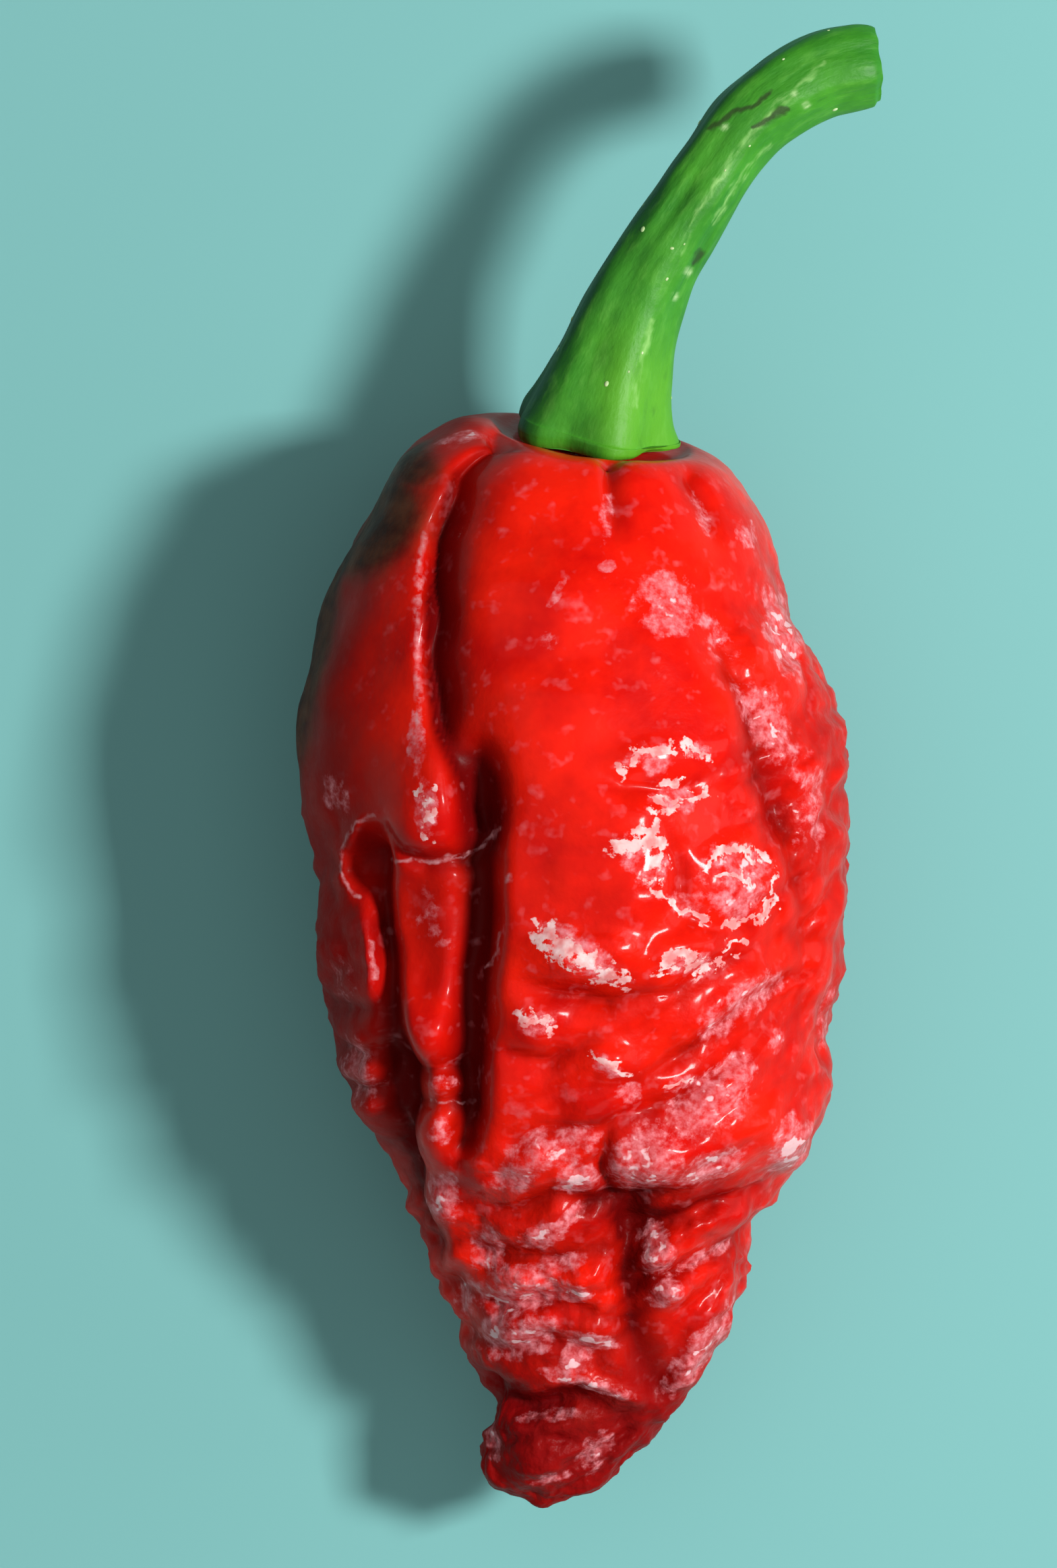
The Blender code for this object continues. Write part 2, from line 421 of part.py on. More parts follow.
def relief(points, normals, angle):
    """How far the wrinkled skin stands out of the smooth pod."""
    x, y, z = points.T
    round_under = MEAN_RADIUS * (np.where(angle > math.pi / 2, angle - 2.0 * math.pi, angle) + math.pi / 2)
    top = blend(normals[:, 2], -0.15, 0.3)
    under = 1.0 - top
    wander = np.stack((noise_at(points / WANDER_SIZE), noise_at(points / WANDER_SIZE + 17.0)))
    top_x, top_y = x + WANDER_TOP * wander[0], y + WANDER_TOP * wander[1]
    under_x, under_y = round_under + WANDER_UNDER * wander[0], y + WANDER_UNDER * wander[1]
    top_form = sum(swelling(top_x, top_y, *values) for values in TOP_SWELLINGS.values())
    top_form = top_form - sum(crease(top_x, top_y, *values) for values in TOP_CREASES.values())
    under_form = sum(swelling(under_x, under_y, *values) for values in UNDER_SWELLINGS.values())
    under_form = under_form - sum(crease(under_x, under_y, *values) for values in UNDER_CREASES.values())

    wrinkles = WRINKLE_HEIGHT * (pads(points, PAD_ACROSS, PAD_ALONG, PAD_EDGE) - PAD_MEAN)
    wrinkles = wrinkles + FACET_HEIGHT * facets(points, FACET_ACROSS, FACET_ALONG)
    wrinkles = wrinkles * crumpled(points, normals)
    uneven = UNEVEN_HEIGHT * noise_at(points / UNEVEN_SIZE + 40.0)
    return (top * top_form + under * under_form + wrinkles + uneven) * away_from_seat(points)


def pod_surface(position, angle):
    """Points of the finished pod, with a flat spot where it lies on the surface."""
    points = smooth_pod(position, angle)
    normals = outward(position, angle)
    points = points + push_direction(normals) * relief(points, normals, angle)[:, None]
    points[:, 2] = np.maximum(points[:, 2], 0.0)
    return points


def material(name, colour, roughness, coat):
    made = bpy.data.materials.new(name)
    made.use_nodes = True
    shader = made.node_tree.nodes["Principled BSDF"]
    shader.inputs["Base Color"].default_value = colour
    shader.inputs["Roughness"].default_value = roughness
    shader.inputs["Coat Weight"].default_value = coat
    shader.inputs["Metallic"].default_value = 0.0
    return made


def add_object(name, mesh, mat, collection):
    mesh.materials.clear()
    mesh.materials.append(mat)
    mesh.shade_smooth()
    made = bpy.data.objects.new(name, mesh)
    collection.objects.link(made)
    return made


def make_pod(collection):
    """The pod starts as a sphere whose poles become the seat of the stem and the tip."""
    bm = bmesh.new()
    bmesh.ops.create_uvsphere(bm, u_segments=POD_AROUND, v_segments=POD_ALONG, radius=1.0)
    sphere = np.array([v.co[:] for v in bm.verts])
    position = np.arccos(np.clip(sphere[:, 2], -1.0, 1.0)) / math.pi
    angle = np.arctan2(sphere[:, 1], sphere[:, 0])
    for vert, point in zip(bm.verts, pod_surface(position, angle)):
        vert.co = Vector(point) * MM
    bmesh.ops.recalc_face_normals(bm, faces=bm.faces)
    mesh = bpy.data.meshes.new("pod")
    bm.to_mesh(mesh)
    bm.free()
    return add_object("pod", mesh, material("pepper skin", SKIN_RED, 0.25, 0.5), collection)


def stem_outline():
    """Closed outline swept along the stem: a circle of 1 mm with soft ribs."""
    curve = bpy.data.curves.new("stem outline", "CURVE")
    curve.dimensions = "2D"
    spline = curve.splines.new("POLY")
    spline.points.add(STEM_SIDES - 1)
    for index, point in enumerate(spline.points):
        turn = 2.0 * math.pi * index / STEM_SIDES
        radius = MM * (1.0 + STEM_RIB_HEIGHT * math.cos(STEM_RIBS * turn))
        point.co = (radius * math.cos(turn), radius * math.sin(turn), 0.0, 1.0)
    spline.use_cyclic_u = True
    return bpy.data.objects.new("stem outline", curve)


def make_stem(collection):
    """The stem and the calyx it widens into, grown as one piece."""
    outline = stem_outline()
    collection.objects.link(outline)
    curve = bpy.data.curves.new("stem", "CURVE")
    curve.dimensions = "3D"
    curve.bevel_mode = "OBJECT"
    curve.bevel_object = outline
    curve.use_fill_caps = True
    spline = curve.splines.new("POLY")
    spline.points.add(STEM_POINTS - 1)
    stations = along(STEM_STATIONS, np.linspace(0.0, 1.0, STEM_POINTS))
    for point, (x, y, z, radius) in zip(spline.points, stations):
        point.co = (x * MM, y * MM, z * MM, 1.0)
        point.radius = radius
    swept = bpy.data.objects.new("stem sweep", curve)
    collection.objects.link(swept)
    mesh = bpy.data.meshes.new_from_object(swept.evaluated_get(bpy.context.evaluated_depsgraph_get()))
    bpy.data.objects.remove(swept)
    bpy.data.objects.remove(outline)

    bm = bmesh.new()
    bm.from_mesh(mesh)
    bmesh.ops.remove_doubles(bm, verts=bm.verts, dist=0.00001)
    start = Vector(STEM_STATIONS[0][:3]) * MM
    axis = (Vector(STEM_STATIONS[1][:3]) * MM - start).normalized()
    for vert in bm.verts:
        offset = vert.co - start
        height = offset.dot(axis)
        fade = max(0.0, 1.0 - height / (CALYX_HEIGHT * MM)) ** 2
        side = offset - axis * height
        turn = math.atan2(side.z, side.x)
        vert.co += side * (CALYX_TOOTH_DEPTH * fade * math.cos(CALYX_TEETH * turn))
    bmesh.ops.recalc_face_normals(bm, faces=bm.faces)
    bm.to_mesh(mesh)
    bm.free()
    mesh.name = "stem"
    return add_object("stem", mesh, material("stem green", STEM_GREEN, 0.45, 0.2), collection)


def main():
    for old in list(bpy.data.objects):
        bpy.data.objects.remove(old, do_unlink=True)
    collection = bpy.data.collections.new("Ghost pepper")
    bpy.context.scene.collection.children.link(collection)
    make_pod(collection)
    make_stem(collection)


main()
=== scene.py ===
"""The looks of a ghost pepper as picked, lying on a pale floor, seen from straight above.

The pod's form is the solid's own formula, read on a finer mesh with the small crumples that the solid
leaves out. Sizes are in millimetres until a mesh is finished, and +Y runs from the tip to the stem.
"""

import math

import bmesh
import bpy
import numpy as np
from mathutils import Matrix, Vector, noise


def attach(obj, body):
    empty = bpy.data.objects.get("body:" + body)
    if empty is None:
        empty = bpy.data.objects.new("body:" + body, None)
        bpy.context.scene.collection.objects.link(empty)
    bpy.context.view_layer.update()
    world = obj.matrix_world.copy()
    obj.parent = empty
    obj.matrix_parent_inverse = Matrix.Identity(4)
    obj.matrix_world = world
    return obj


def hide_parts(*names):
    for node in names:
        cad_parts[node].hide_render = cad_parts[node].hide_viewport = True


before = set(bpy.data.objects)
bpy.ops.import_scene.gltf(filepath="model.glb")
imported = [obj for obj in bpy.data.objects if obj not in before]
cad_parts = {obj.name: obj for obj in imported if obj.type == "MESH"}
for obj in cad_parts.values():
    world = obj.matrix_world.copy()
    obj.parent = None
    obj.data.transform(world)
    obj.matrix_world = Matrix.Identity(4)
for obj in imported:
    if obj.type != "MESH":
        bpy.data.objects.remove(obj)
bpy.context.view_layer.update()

MM = 0.001

# Photograph: its frame, how many of its pixels make a millimetre, and the pixel over the origin
PHOTO_WIDTH = 1568
PHOTO_HEIGHT = 2326
PHOTO_SCALE = 26.75
PHOTO_ORIGIN = (855, 1330)
OUTLINE_HEIGHT = 13.5
LENS = 200.0
SENSOR = 36.0

# Faces round the pod and from end to end
POD_AROUND = 384
POD_ALONG = 250

# Middle of the seat of the stem, and the ring round it where the skin goes from calm to wrinkled
SEAT = (0.9, 25.15, 13.3)
SEAT_CALM = 4.6
SEAT_EDGE = 7.5
SHOULDER_Y = 20.0

# Stations of the pod from the stem seat to the tip, seen from above: left edge (x, y), right edge (x, y),
# underside z, top z, and how far the top and the underside slip towards the tip
POD_STATIONS = (
    (*SEAT[:2], *SEAT[:2], SEAT[2], SEAT[2], 0.0, 0.0),
    (-3.5, 25.75, 5.3, 24.55, 8.9, 17.7, 1.35, -1.3),
    (-5.0, 26.5, 6.7, 24.7, 7.0, 19.8, 1.5, -1.2),
    (-7.2, 26.3, 8.6, 23.6, 5.3, 21.5, 1.3, -0.8),
    (-9.6, 24.7, 9.8, 21.5, 3.9, 22.9, 1.2, -0.3),
    (-10.9, 22.1, 10.9, 18.9, 2.7, 24.0, 0.9, 0.0),
    (-12.5, 19.6, 11.9, 16.2, 1.7, 24.9, 0.6, 0.0),
    (-13.8, 16.6, 13.2, 13.4, 0.8, 25.6, 0.3, 0.0),
    (-14.7, 13.4, 14.4, 10.8, 0.2, 26.1, 0.0, 0.0),
    (-15.3, 10.2, 15.3, 8.0, -0.3, 26.5, 0.0, 0.0),
    (-15.4, 7.2, 15.1, 5.3, -0.4, 26.7, 0.0, 0.0),
    (-15.0, 4.2, 15.3, 2.6, -0.4, 26.7, 0.0, 0.0),
    (-14.4, 1.2, 15.2, 0.0, -0.4, 26.5, 0.0, 0.0),
    (-14.4, -1.8, 14.9, -2.6, -0.4, 26.2, 0.0, 0.0),
    (-14.3, -4.6, 14.7, -5.2, -0.3, 25.7, 0.0, 0.0),
    (-13.8, -7.4, 14.2, -7.8, 0.1, 25.1, 0.0, 0.0),
    (-12.8, -10.2, 14.2, -10.4, 0.6, 24.4, 0.0, 0.0),
    (-11.6, -13.0, 13.4, -13.0, 1.2, 23.4, 0.0, 0.0),
    (-10.3, -15.6, 12.0, -15.6, 1.8, 21.9, 0.0, 0.0),
    (-9.4, -18.2, 10.2, -18.2, 2.5, 20.0, 0.0, 0.0),
    (-8.1, -20.8, 9.8, -20.8, 3.2, 18.6, 0.0, 0.0),
    (-6.8, -23.4, 8.7, -23.4, 4.0, 17.4, 0.0, 0.0),
    (-6.4, -25.8, 7.4, -25.8, 4.8, 16.2, 0.0, 0.0),
    (-5.0, -28.0, 6.0, -28.2, 5.6, 14.6, 0.0, 0.0),
    (-5.2, -29.8, 4.2, -30.2, 6.2, 13.5, 0.0, 0.0),
    (-5.4, -31.3, 3.1, -31.5, 6.8, 12.6, 0.0, 0.0),
    (-5.0, -32.5, 2.3, -32.4, 7.4, 11.8, 0.0, 0.0),
    (-4.1, -33.4, 0.8, -33.3, 8.2, 10.9, 0.0, 0.0),
    (-2.1, -34.1, -2.1, -34.1, 9.5, 9.5, 0.0, 0.0),
)

# Creases on the side that faces up. Each has its steepness, how much softer its left-hand side is for
# someone who follows the points, and the points (x, y, depth, half width). A negative depth is a crest
TOP_CREASES = {
    "long furrow beside the left lobe": (1.4, 4.8, (
        (-4.6, 25.4, 0.9, 0.3), (-6.7, 23.3, 1.4, 0.3), (-7.7, 20.0, 1.8, 0.32),
        (-8.1, 16.5, 2.0, 0.34), (-8.1, 12.5, 2.0, 0.34), (-7.7, 9.3, 1.8, 0.36),
        (-6.8, 7.4, 1.4, 0.4), (-5.8, 5.0, 0.8, 0.45))),
    "hollow at the foot of the furrow": (2.5, 1.0, ((-5.4, 7.3, 0.9, 1.2), (-5.0, 4.6, 1.2, 1.2))),
    "deep valley left of the big lobe": (2.2, 0.9, (
        (-5.3, 6.0, 1.0, 1.1), (-5.4, 3.0, 2.0, 1.1), (-5.4, -1.0, 2.3, 1.1), (-5.7, -5.5, 2.3, 1.1),
        (-5.9, -9.5, 2.1, 1.1), (-6.0, -13.4, 1.3, 0.9))),
    "valley by the left edge": (2.4, 1.0, (
        (-11.0, 2.4, 0.9, 0.55), (-10.8, -1.6, 1.7, 0.55), (-10.3, -3.8, 1.5, 0.55),
        (-10.2, -7.0, 1.6, 0.7), (-9.8, -9.4, 2.2, 1.1), (-9.8, -11.6, 2.2, 1.1),
        (-10.0, -14.2, 1.9, 1.0), (-9.4, -17.0, 1.5, 0.9), (-8.4, -19.2, 1.0, 0.8))),
    "undercut below the tongue": (1.5, 1.0, (
        (-10.4, 4.1, 0.4, 0.4), (-9.5, 2.7, 0.9, 0.5), (-8.2, 2.1, 1.0, 0.5), (-6.2, 2.1, 1.0, 0.5),
        (-4.6, 3.4, 0.5, 0.4))),
    "rim of the pit by the left edge": (1.6, 1.0, (
        (-11.0, 4.6, -0.3, 0.35), (-12.1, 4.1, -0.6, 0.35), (-12.9, 2.7, -0.7, 0.35),
        (-12.8, 1.0, -0.6, 0.35), (-12.0, 0.2, -0.2, 0.35))),
    "edge of the valley by the left edge": (1.6, 1.0, (
        (-11.9, -0.4, -0.1, 0.3), (-11.5, -2.4, -0.35, 0.3), (-11.2, -4.6, -0.3, 0.3),
        (-11.4, -6.0, 0.0, 0.3))),
    "seam under the middle knob": (1.5, 1.0, (
        (-10.2, -9.1, 0.6, 0.5), (-8.2, -9.4, 0.6, 0.45), (-6.2, -9.0, 0.6, 0.5))),
    "seam over the lower knob": (1.5, 1.0, (
        (-9.2, -11.2, 0.6, 0.45), (-7.6, -11.0, 0.5, 0.4), (-6.0, -11.3, 0.6, 0.45))),
    "seam over the left edge lumps": (1.5, 1.0, (
        (-13.8, -5.8, 0.5, 0.5), (-12.0, -6.2, 0.5, 0.5), (-10.8, -6.0, 0.4, 0.5))),
    "seam between the left edge lumps": (1.5, 1.0, (
        (-13.2, -8.4, 0.5, 0.45), (-10.8, -8.4, 0.5, 0.45))),
    "seam under the left edge lumps": (1.5, 1.0, (
        (-12.6, -10.6, 0.5, 0.45), (-10.8, -10.4, 0.5, 0.45))),
    "short seam from the stem": (1.4, 1.6, (
        (1.7, 24.2, 1.0, 0.45), (1.9, 21.4, 0.8, 0.5), (2.0, 19.4, 0.0, 0.5))),
    "seam on the right shoulder": (1.5, 1.0, (
        (6.2, 22.9, 0.7, 0.55), (7.2, 20.8, 0.5, 0.6), (7.9, 18.4, 0.0, 0.6))),
    "furrow between the right lobes": (1.6, 1.4, (
        (7.2, 15.4, 0.0, 0.6), (8.0, 12.6, 0.6, 0.6), (9.3, 9.8, 0.9, 0.65), (9.9, 6.6, 1.0, 0.65),
        (11.4, 3.6, 0.9, 0.65), (12.2, 0.6, 0.7, 0.6), (12.5, -3.6, 0.2, 0.6))),
    "crease under the upper glints": (1.5, 1.0, (
        (0.4, 7.4, 0.0, 0.5), (2.4, 5.9, 0.4, 0.5), (6.0, 6.2, 0.4, 0.5), (8.2, 7.2, 0.0, 0.5))),
    "crease over the ringed bulge": (1.5, 1.0, (
        (4.6, 4.2, 0.2, 0.5), (5.4, 1.8, 0.5, 0.5), (5.4, -0.4, 0.5, 0.5), (7.0, -1.8, 0.4, 0.5),
        (9.6, -1.6, 0.2, 0.5))),
    "fold across the middle": (1.2, 0.6, (
        (-3.2, -4.2, 0.3, 0.7), (-1.2, -5.0, 0.8, 0.6), (1.6, -5.4, 0.9, 0.55), (3.4, -5.0, 0.5, 0.5),
        (5.4, -4.9, 0.7, 0.55), (8.4, -3.2, 0.5, 0.6))),
    "fold under the bulge by the valley": (1.2, 0.7, (
        (-3.8, -8.2, 0.6, 0.55), (-1.4, -8.6, 0.7, 0.5), (0.6, -7.8, 0.3, 0.5))),
    "fold rising to the right edge": (1.2, 0.7, (
        (3.0, -9.8, 0.3, 0.6), (6.2, -8.0, 0.9, 0.6), (9.4, -5.6, 0.8, 0.6), (12.6, -4.0, 0.4, 0.6))),
    "fold above the ruffled part": (1.2, 0.7, (
        (-3.4, -13.2, 0.5, 0.6), (-0.4, -12.4, 0.7, 0.55), (2.4, -12.0, 0.8, 0.55),
        (5.4, -11.0, 0.8, 0.55), (8.6, -8.6, 0.6, 0.6))),
    "gap between the ruffles": (1.5, 1.0, (
        (1.6, -12.6, 0.4, 0.4), (1.5, -14.6, 1.0, 0.45), (1.9, -16.4, 1.0, 0.5))),
    "step where the pod narrows": (1.4, 0.5, (
        (-6.0, -16.6, 0.3, 0.8), (-3.4, -17.0, 0.7, 0.9), (-1.4, -16.2, 0.7, 0.9),
        (0.8, -16.8, 1.2, 1.0), (2.6, -16.7, 1.6, 1.0), (4.6, -16.2, 0.9, 0.9), (6.6, -16.4, 0.4, 0.8),
        (9.2, -15.2, 0.4, 0.7))),
    "slit right of the centre": (1.4, 0.8, (
        (2.6, -18.3, 1.2, 0.7), (4.4, -17.9, 1.3, 0.65), (6.6, -17.0, 1.0, 0.6),
        (10.2, -16.4, 0.5, 0.6))),
    "lower slit on the right": (1.4, 0.8, (
        (4.0, -20.9, 0.7, 0.6), (6.4, -20.2, 0.9, 0.6), (8.0, -19.4, 0.8, 0.6),
        (9.8, -18.2, 0.5, 0.6))),
    "valley down to the tip": (1.8, 1.7, (
        (2.9, -17.6, 1.1, 0.7), (2.9, -20.6, 1.2, 0.7), (3.0, -23.0, 1.3, 0.8), (3.6, -25.4, 1.3, 0.9),
        (4.5, -27.4, 0.9, 0.8))),
    "crease left of the narrow part": (1.5, 0.8, (
        (-7.6, -18.6, 0.3, 0.6), (-4.6, -19.6, 0.7, 0.6), (-1.2, -19.9, 0.8, 0.6),
        (1.4, -19.3, 0.4, 0.6))),
    "second crease left of the narrow part": (1.5, 0.8, (
        (-7.2, -21.6, 0.5, 0.55), (-4.4, -22.7, 0.7, 0.55), (-1.4, -22.4, 0.8, 0.55),
        (1.8, -22.9, 0.4, 0.6))),
    "third crease left of the narrow part": (1.5, 0.8, (
        (-6.4, -24.4, 0.5, 0.55), (-3.8, -25.0, 0.8, 0.55), (-1.6, -24.6, 0.6, 0.5),
        (1.0, -25.2, 0.7, 0.5), (2.6, -24.6, 0.3, 0.5))),
    "hollow over the tip": (1.6, 1.0, (
        (-4.9, -27.4, 1.0, 0.9), (-2.6, -28.4, 1.7, 1.0), (0.0, -27.6, 1.3, 0.8),
        (2.6, -28.9, 0.8, 0.8))),
    "lip over the tip": (1.5, 1.0, (
        (-3.0, -27.6, -0.3, 0.45), (-1.2, -26.9, -0.7, 0.45), (0.4, -26.5, -0.8, 0.45),
        (2.6, -27.5, -0.7, 0.45), (4.2, -28.0, -0.4, 0.45))),
    "fold round the tip": (1.5, 1.0, (
        (-4.6, -30.4, 0.5, 0.5), (-1.8, -29.9, 0.5, 0.5), (0.8, -30.6, 0.4, 0.5))),
    "fold under the tip": (1.5, 1.0, (
        (-1.6, -32.4, 0.3, 0.5), (1.0, -31.4, 0.6, 0.5), (3.0, -30.2, 0.5, 0.5))),
}

# Swellings on the side that faces up: x, y, half length across, half length along, turn in degrees, height
TOP_SWELLINGS = {
    "big middle lobe": (2.2, 3.0, 6.2, 15.0, 0.0, 0.8),
    "tongue": (-8.2, 5.8, 2.3, 3.6, 0.0, 1.2),
    "sunk column below the tongue": (-8.0, -1.6, 2.9, 3.9, 0.0, -1.3),
    "red knob below the column": (-8.5, -7.0, 1.7, 1.7, 0.0, 0.9),
    "small facet below the knob": (-7.4, -10.2, 0.9, 0.8, 0.0, 0.5),
    "second knob": (-7.7, -12.9, 1.3, 1.6, 0.0, 1.0),
    "pit by the left edge": (-11.5, 2.3, 1.1, 1.8, 0.0, -2.0),
    "long lobe by the left edge": (-12.3, -2.4, 1.6, 3.0, 8.0, 0.3),
    "upper lump by the left edge": (-12.1, -7.3, 1.1, 0.9, 0.0, 0.5),
    "middle lump by the left edge": (-11.8, -9.5, 1.0, 0.9, 0.0, 0.5),
    "lower lump by the left edge": (-11.5, -11.7, 0.8, 1.0, 0.0, 0.5),
    "left shoulder hump": (-9.2, 22.4, 2.4, 2.4, 20.0, 0.6),
    "bulge under the upper glints": (3.6, 7.6, 2.2, 1.0, 6.0, 0.4),
    "bulge with the white glints": (4.2, 4.0, 2.6, 1.5, -12.0, 0.5),
    "bulge beside the chain of glints": (3.6, 0.8, 1.8, 1.8, -35.0, 0.4),
    "ringed bulge": (8.3, 0.6, 2.3, 1.7, -12.0, 0.7),
    "bulge above the middle fold": (0.6, -3.2, 2.9, 1.3, -8.0, 0.7),
    "second bulge above the middle fold": (6.0, -3.0, 2.2, 1.1, 10.0, 0.5),
    "bulge by the valley": (-2.2, -6.6, 1.7, 1.5, -10.0, 0.7),
    "small bulge below it": (1.6, -8.8, 2.0, 0.8, -12.0, 0.4),
    "ridge rising to the right": (8.8, -5.6, 3.2, 0.9, 35.0, 0.6),
    "second ridge rising to the right": (8.4, -9.6, 3.0, 0.9, 38.0, 0.5),
    "ruffle left": (-2.2, -14.6, 2.0, 1.2, -6.0, 0.9),
    "ruffle beside the valley": (-5.6, -14.8, 1.0, 1.1, 0.0, 0.5),
    "ruffle right": (4.2, -14.2, 2.1, 1.3, 8.0, 0.9),
    "long ruffle to the right": (7.9, -12.9, 2.4, 0.9, 26.0, 0.7),
    "flap on the right edge": (11.5, -13.4, 1.5, 1.9, 30.0, 1.0),
    "pad left of the narrow part": (-7.3, -16.8, 1.2, 1.5, 0.0, 0.6),
    "small pad below it": (-6.8, -19.2, 0.9, 1.0, 0.0, 0.5),
    "knuckle over the narrow part": (-2.0, -18.3, 2.3, 0.9, 8.0, 0.6),
    "second knuckle": (-3.4, -21.1, 2.3, 0.9, 6.0, 0.5),
    "second knuckle's right end": (0.6, -21.2, 1.2, 0.9, 0.0, 0.45),
    "third knuckle": (-3.6, -23.7, 2.0, 0.8, 6.0, 0.5),
    "third knuckle's right end": (0.9, -23.6, 1.2, 0.8, -10.0, 0.4),
    "pad right of the slit": (4.7, -19.4, 1.0, 1.1, 10.0, 0.9),
    "long pad under the slit": (7.8, -17.8, 1.9, 0.7, 22.0, 0.6),
    "lower pad": (5.2, -21.6, 0.9, 0.9, 0.0, 0.7),
    "band down the right": (7.5, -23.4, 0.8, 3.2, -27.0, 1.0),
    "end of the band": (5.5, -27.6, 0.7, 1.8, -18.0, 0.7),
    "nub at the tip": (-2.2, -31.2, 2.0, 1.6, 0.0, 0.4),
}

# The flanks and the side it lies on have lobes and folds of their own. Here the first number of a point
# is the way round from the middle of the underside, towards the right flank, on a pod of the mean radius
MEAN_RADIUS = 13.5
UNDER_CREASES = {
    "left furrow underneath": (1.8, 1.0, (
        (-6.0, 25.0, 0.8, 1.4), (-9.6, 17.0, 1.4, 1.4), (-11.4, 8.0, 1.6, 1.4),
        (-11.0, -2.0, 1.5, 1.4), (-9.4, -10.0, 1.3, 1.4), (-7.6, -17.0, 0.9, 1.4))),
    "right furrow underneath": (1.8, 1.0, (
        (7.0, 24.0, 0.7, 1.4), (10.0, 15.0, 1.3, 1.4), (12.0, 6.0, 1.6, 1.4), (12.4, -4.0, 1.5, 1.4),
        (11.0, -13.0, 1.3, 1.4), (8.0, -20.0, 1.0, 1.4), (5.0, -26.0, 0.7, 1.4))),
    "seam from the stem underneath": (1.5, 1.0, ((0.6, 24.0, 0.8, 0.7), (-0.6, 19.0, 0.4, 0.7))),
    "furrow on the left flank": (1.6, 1.0, (
        (-15.6, 20.0, 0.3, 1.3), (-17.9, 14.0, 0.9, 1.4), (-16.9, 9.0, 1.1, 1.4),
        (-18.6, 4.0, 0.9, 1.2), (-16.8, -2.0, 1.1, 1.3), (-18.2, -8.0, 0.8, 1.2),
        (-15.4, -15.0, 0.4, 1.2))),
    "furrow on the right flank": (1.6, 1.0, (
        (16.0, 19.0, 0.3, 1.3), (18.6, 12.0, 0.9, 1.4), (17.2, 6.5, 1.0, 1.4), (19.0, 1.0, 0.8, 1.3),
        (17.0, -5.0, 1.0, 1.3), (18.6, -10.0, 0.7, 1.2), (16.0, -15.0, 0.4, 1.2))),
    "upper fold across the left lobe": (1.6, 1.0, (
        (-18.0, 5.4, 0.5, 0.9), (-14.6, 3.4, 0.9, 0.9), (-11.2, 4.2, 0.5, 0.9))),
    "lower fold across the left lobe": (1.6, 1.0, (
        (-17.4, -5.2, 0.6, 0.9), (-13.6, -7.4, 1.0, 0.9), (-10.0, -6.6, 0.6, 0.9))),
    "upper fold across the right lobe": (1.6, 1.0, (
        (12.2, -1.0, 0.5, 0.9), (15.4, 0.6, 0.8, 0.9), (18.2, -0.6, 0.5, 0.9))),
    "lower fold across the right lobe": (1.6, 1.0, (
        (11.8, -8.8, 0.6, 0.9), (15.0, -7.2, 1.0, 0.9), (18.2, -8.2, 0.6, 0.9))),
    "first fold towards the tip": (1.5, 0.6, (
        (-19.0, -14.6, 0.3, 1.2), (-7.0, -17.4, 0.8, 1.3), (2.0, -16.0, 0.5, 1.2),
        (18.0, -15.6, 0.6, 1.3))),
    "second fold towards the tip": (1.5, 1.5, (
        (-18.0, -20.8, 0.5, 1.2), (-4.0, -20.6, 0.3, 1.1), (6.0, -22.2, 0.8, 1.2),
        (18.0, -19.4, 0.4, 1.2))),
    "third fold towards the tip": (1.5, 0.6, (
        (-17.0, -25.2, 0.3, 1.1), (-4.0, -26.6, 0.7, 1.2), (8.0, -25.4, 0.4, 1.1),
        (17.0, -24.8, 0.5, 1.1))),
    "neck of the tip underneath": (1.6, 1.0, (
        (-17.0, -28.6, 0.7, 1.1), (0.0, -29.4, 0.8, 1.2), (17.0, -28.6, 0.6, 1.1))),
}

UNDER_SWELLINGS = {
    "left lobe underneath": (-14.6, 9.0, 2.8, 7.0, 0.0, 0.7),
    "left lobe towards the tip": (-14.0, -2.2, 2.6, 3.2, 0.0, 0.6),
    "right lobe underneath": (15.4, 7.0, 2.8, 5.0, 0.0, 0.6),
    "right lobe towards the tip": (15.2, -4.4, 2.6, 2.4, 0.0, 0.7),
    "knuckle underneath": (-4.0, -19.2, 5.0, 1.1, 0.0, 0.6),
    "second knuckle underneath": (4.0, -23.8, 5.0, 1.1, 0.0, 0.6),
}

# Wrinkles: pads of skin with creases between them, and flat facets on them. Both are longer across the
# pod than along it, rise towards the right edge, and fade away near the stem
PAD_ACROSS = 5.0
PAD_ALONG = 2.2
PAD_EDGE = 0.45
PAD_MEAN = 0.75
WRINKLE_HEIGHT = 0.32
FACET_ACROSS = 5.0
FACET_ALONG = 2.4
FACET_HEIGHT = 0.55
# Smooth floor of the valley above the tip: x, y, half length across, half length along, turn, how smooth
TAUT_FLOOR = (4.3, -24.8, 1.5, 3.0, -10.0, 0.85)
WRINKLE_RISE = 0.035
WRINKLE_BEND = 0.3
LEAST_CRUMPLED = 0.06
# Shallow unevenness all over the skin, and how far creases wander from their points
UNEVEN_SIZE = 4.5
UNEVEN_HEIGHT = 0.5
WANDER_SIZE = 3.2
WANDER_TOP = 0.45
WANDER_UNDER = 1.1
UPRIGHT_PUSH = 0.75
# The underside turns into the top where the upright part of a normal is between these values
FACING_UP = (-0.15, 0.3)

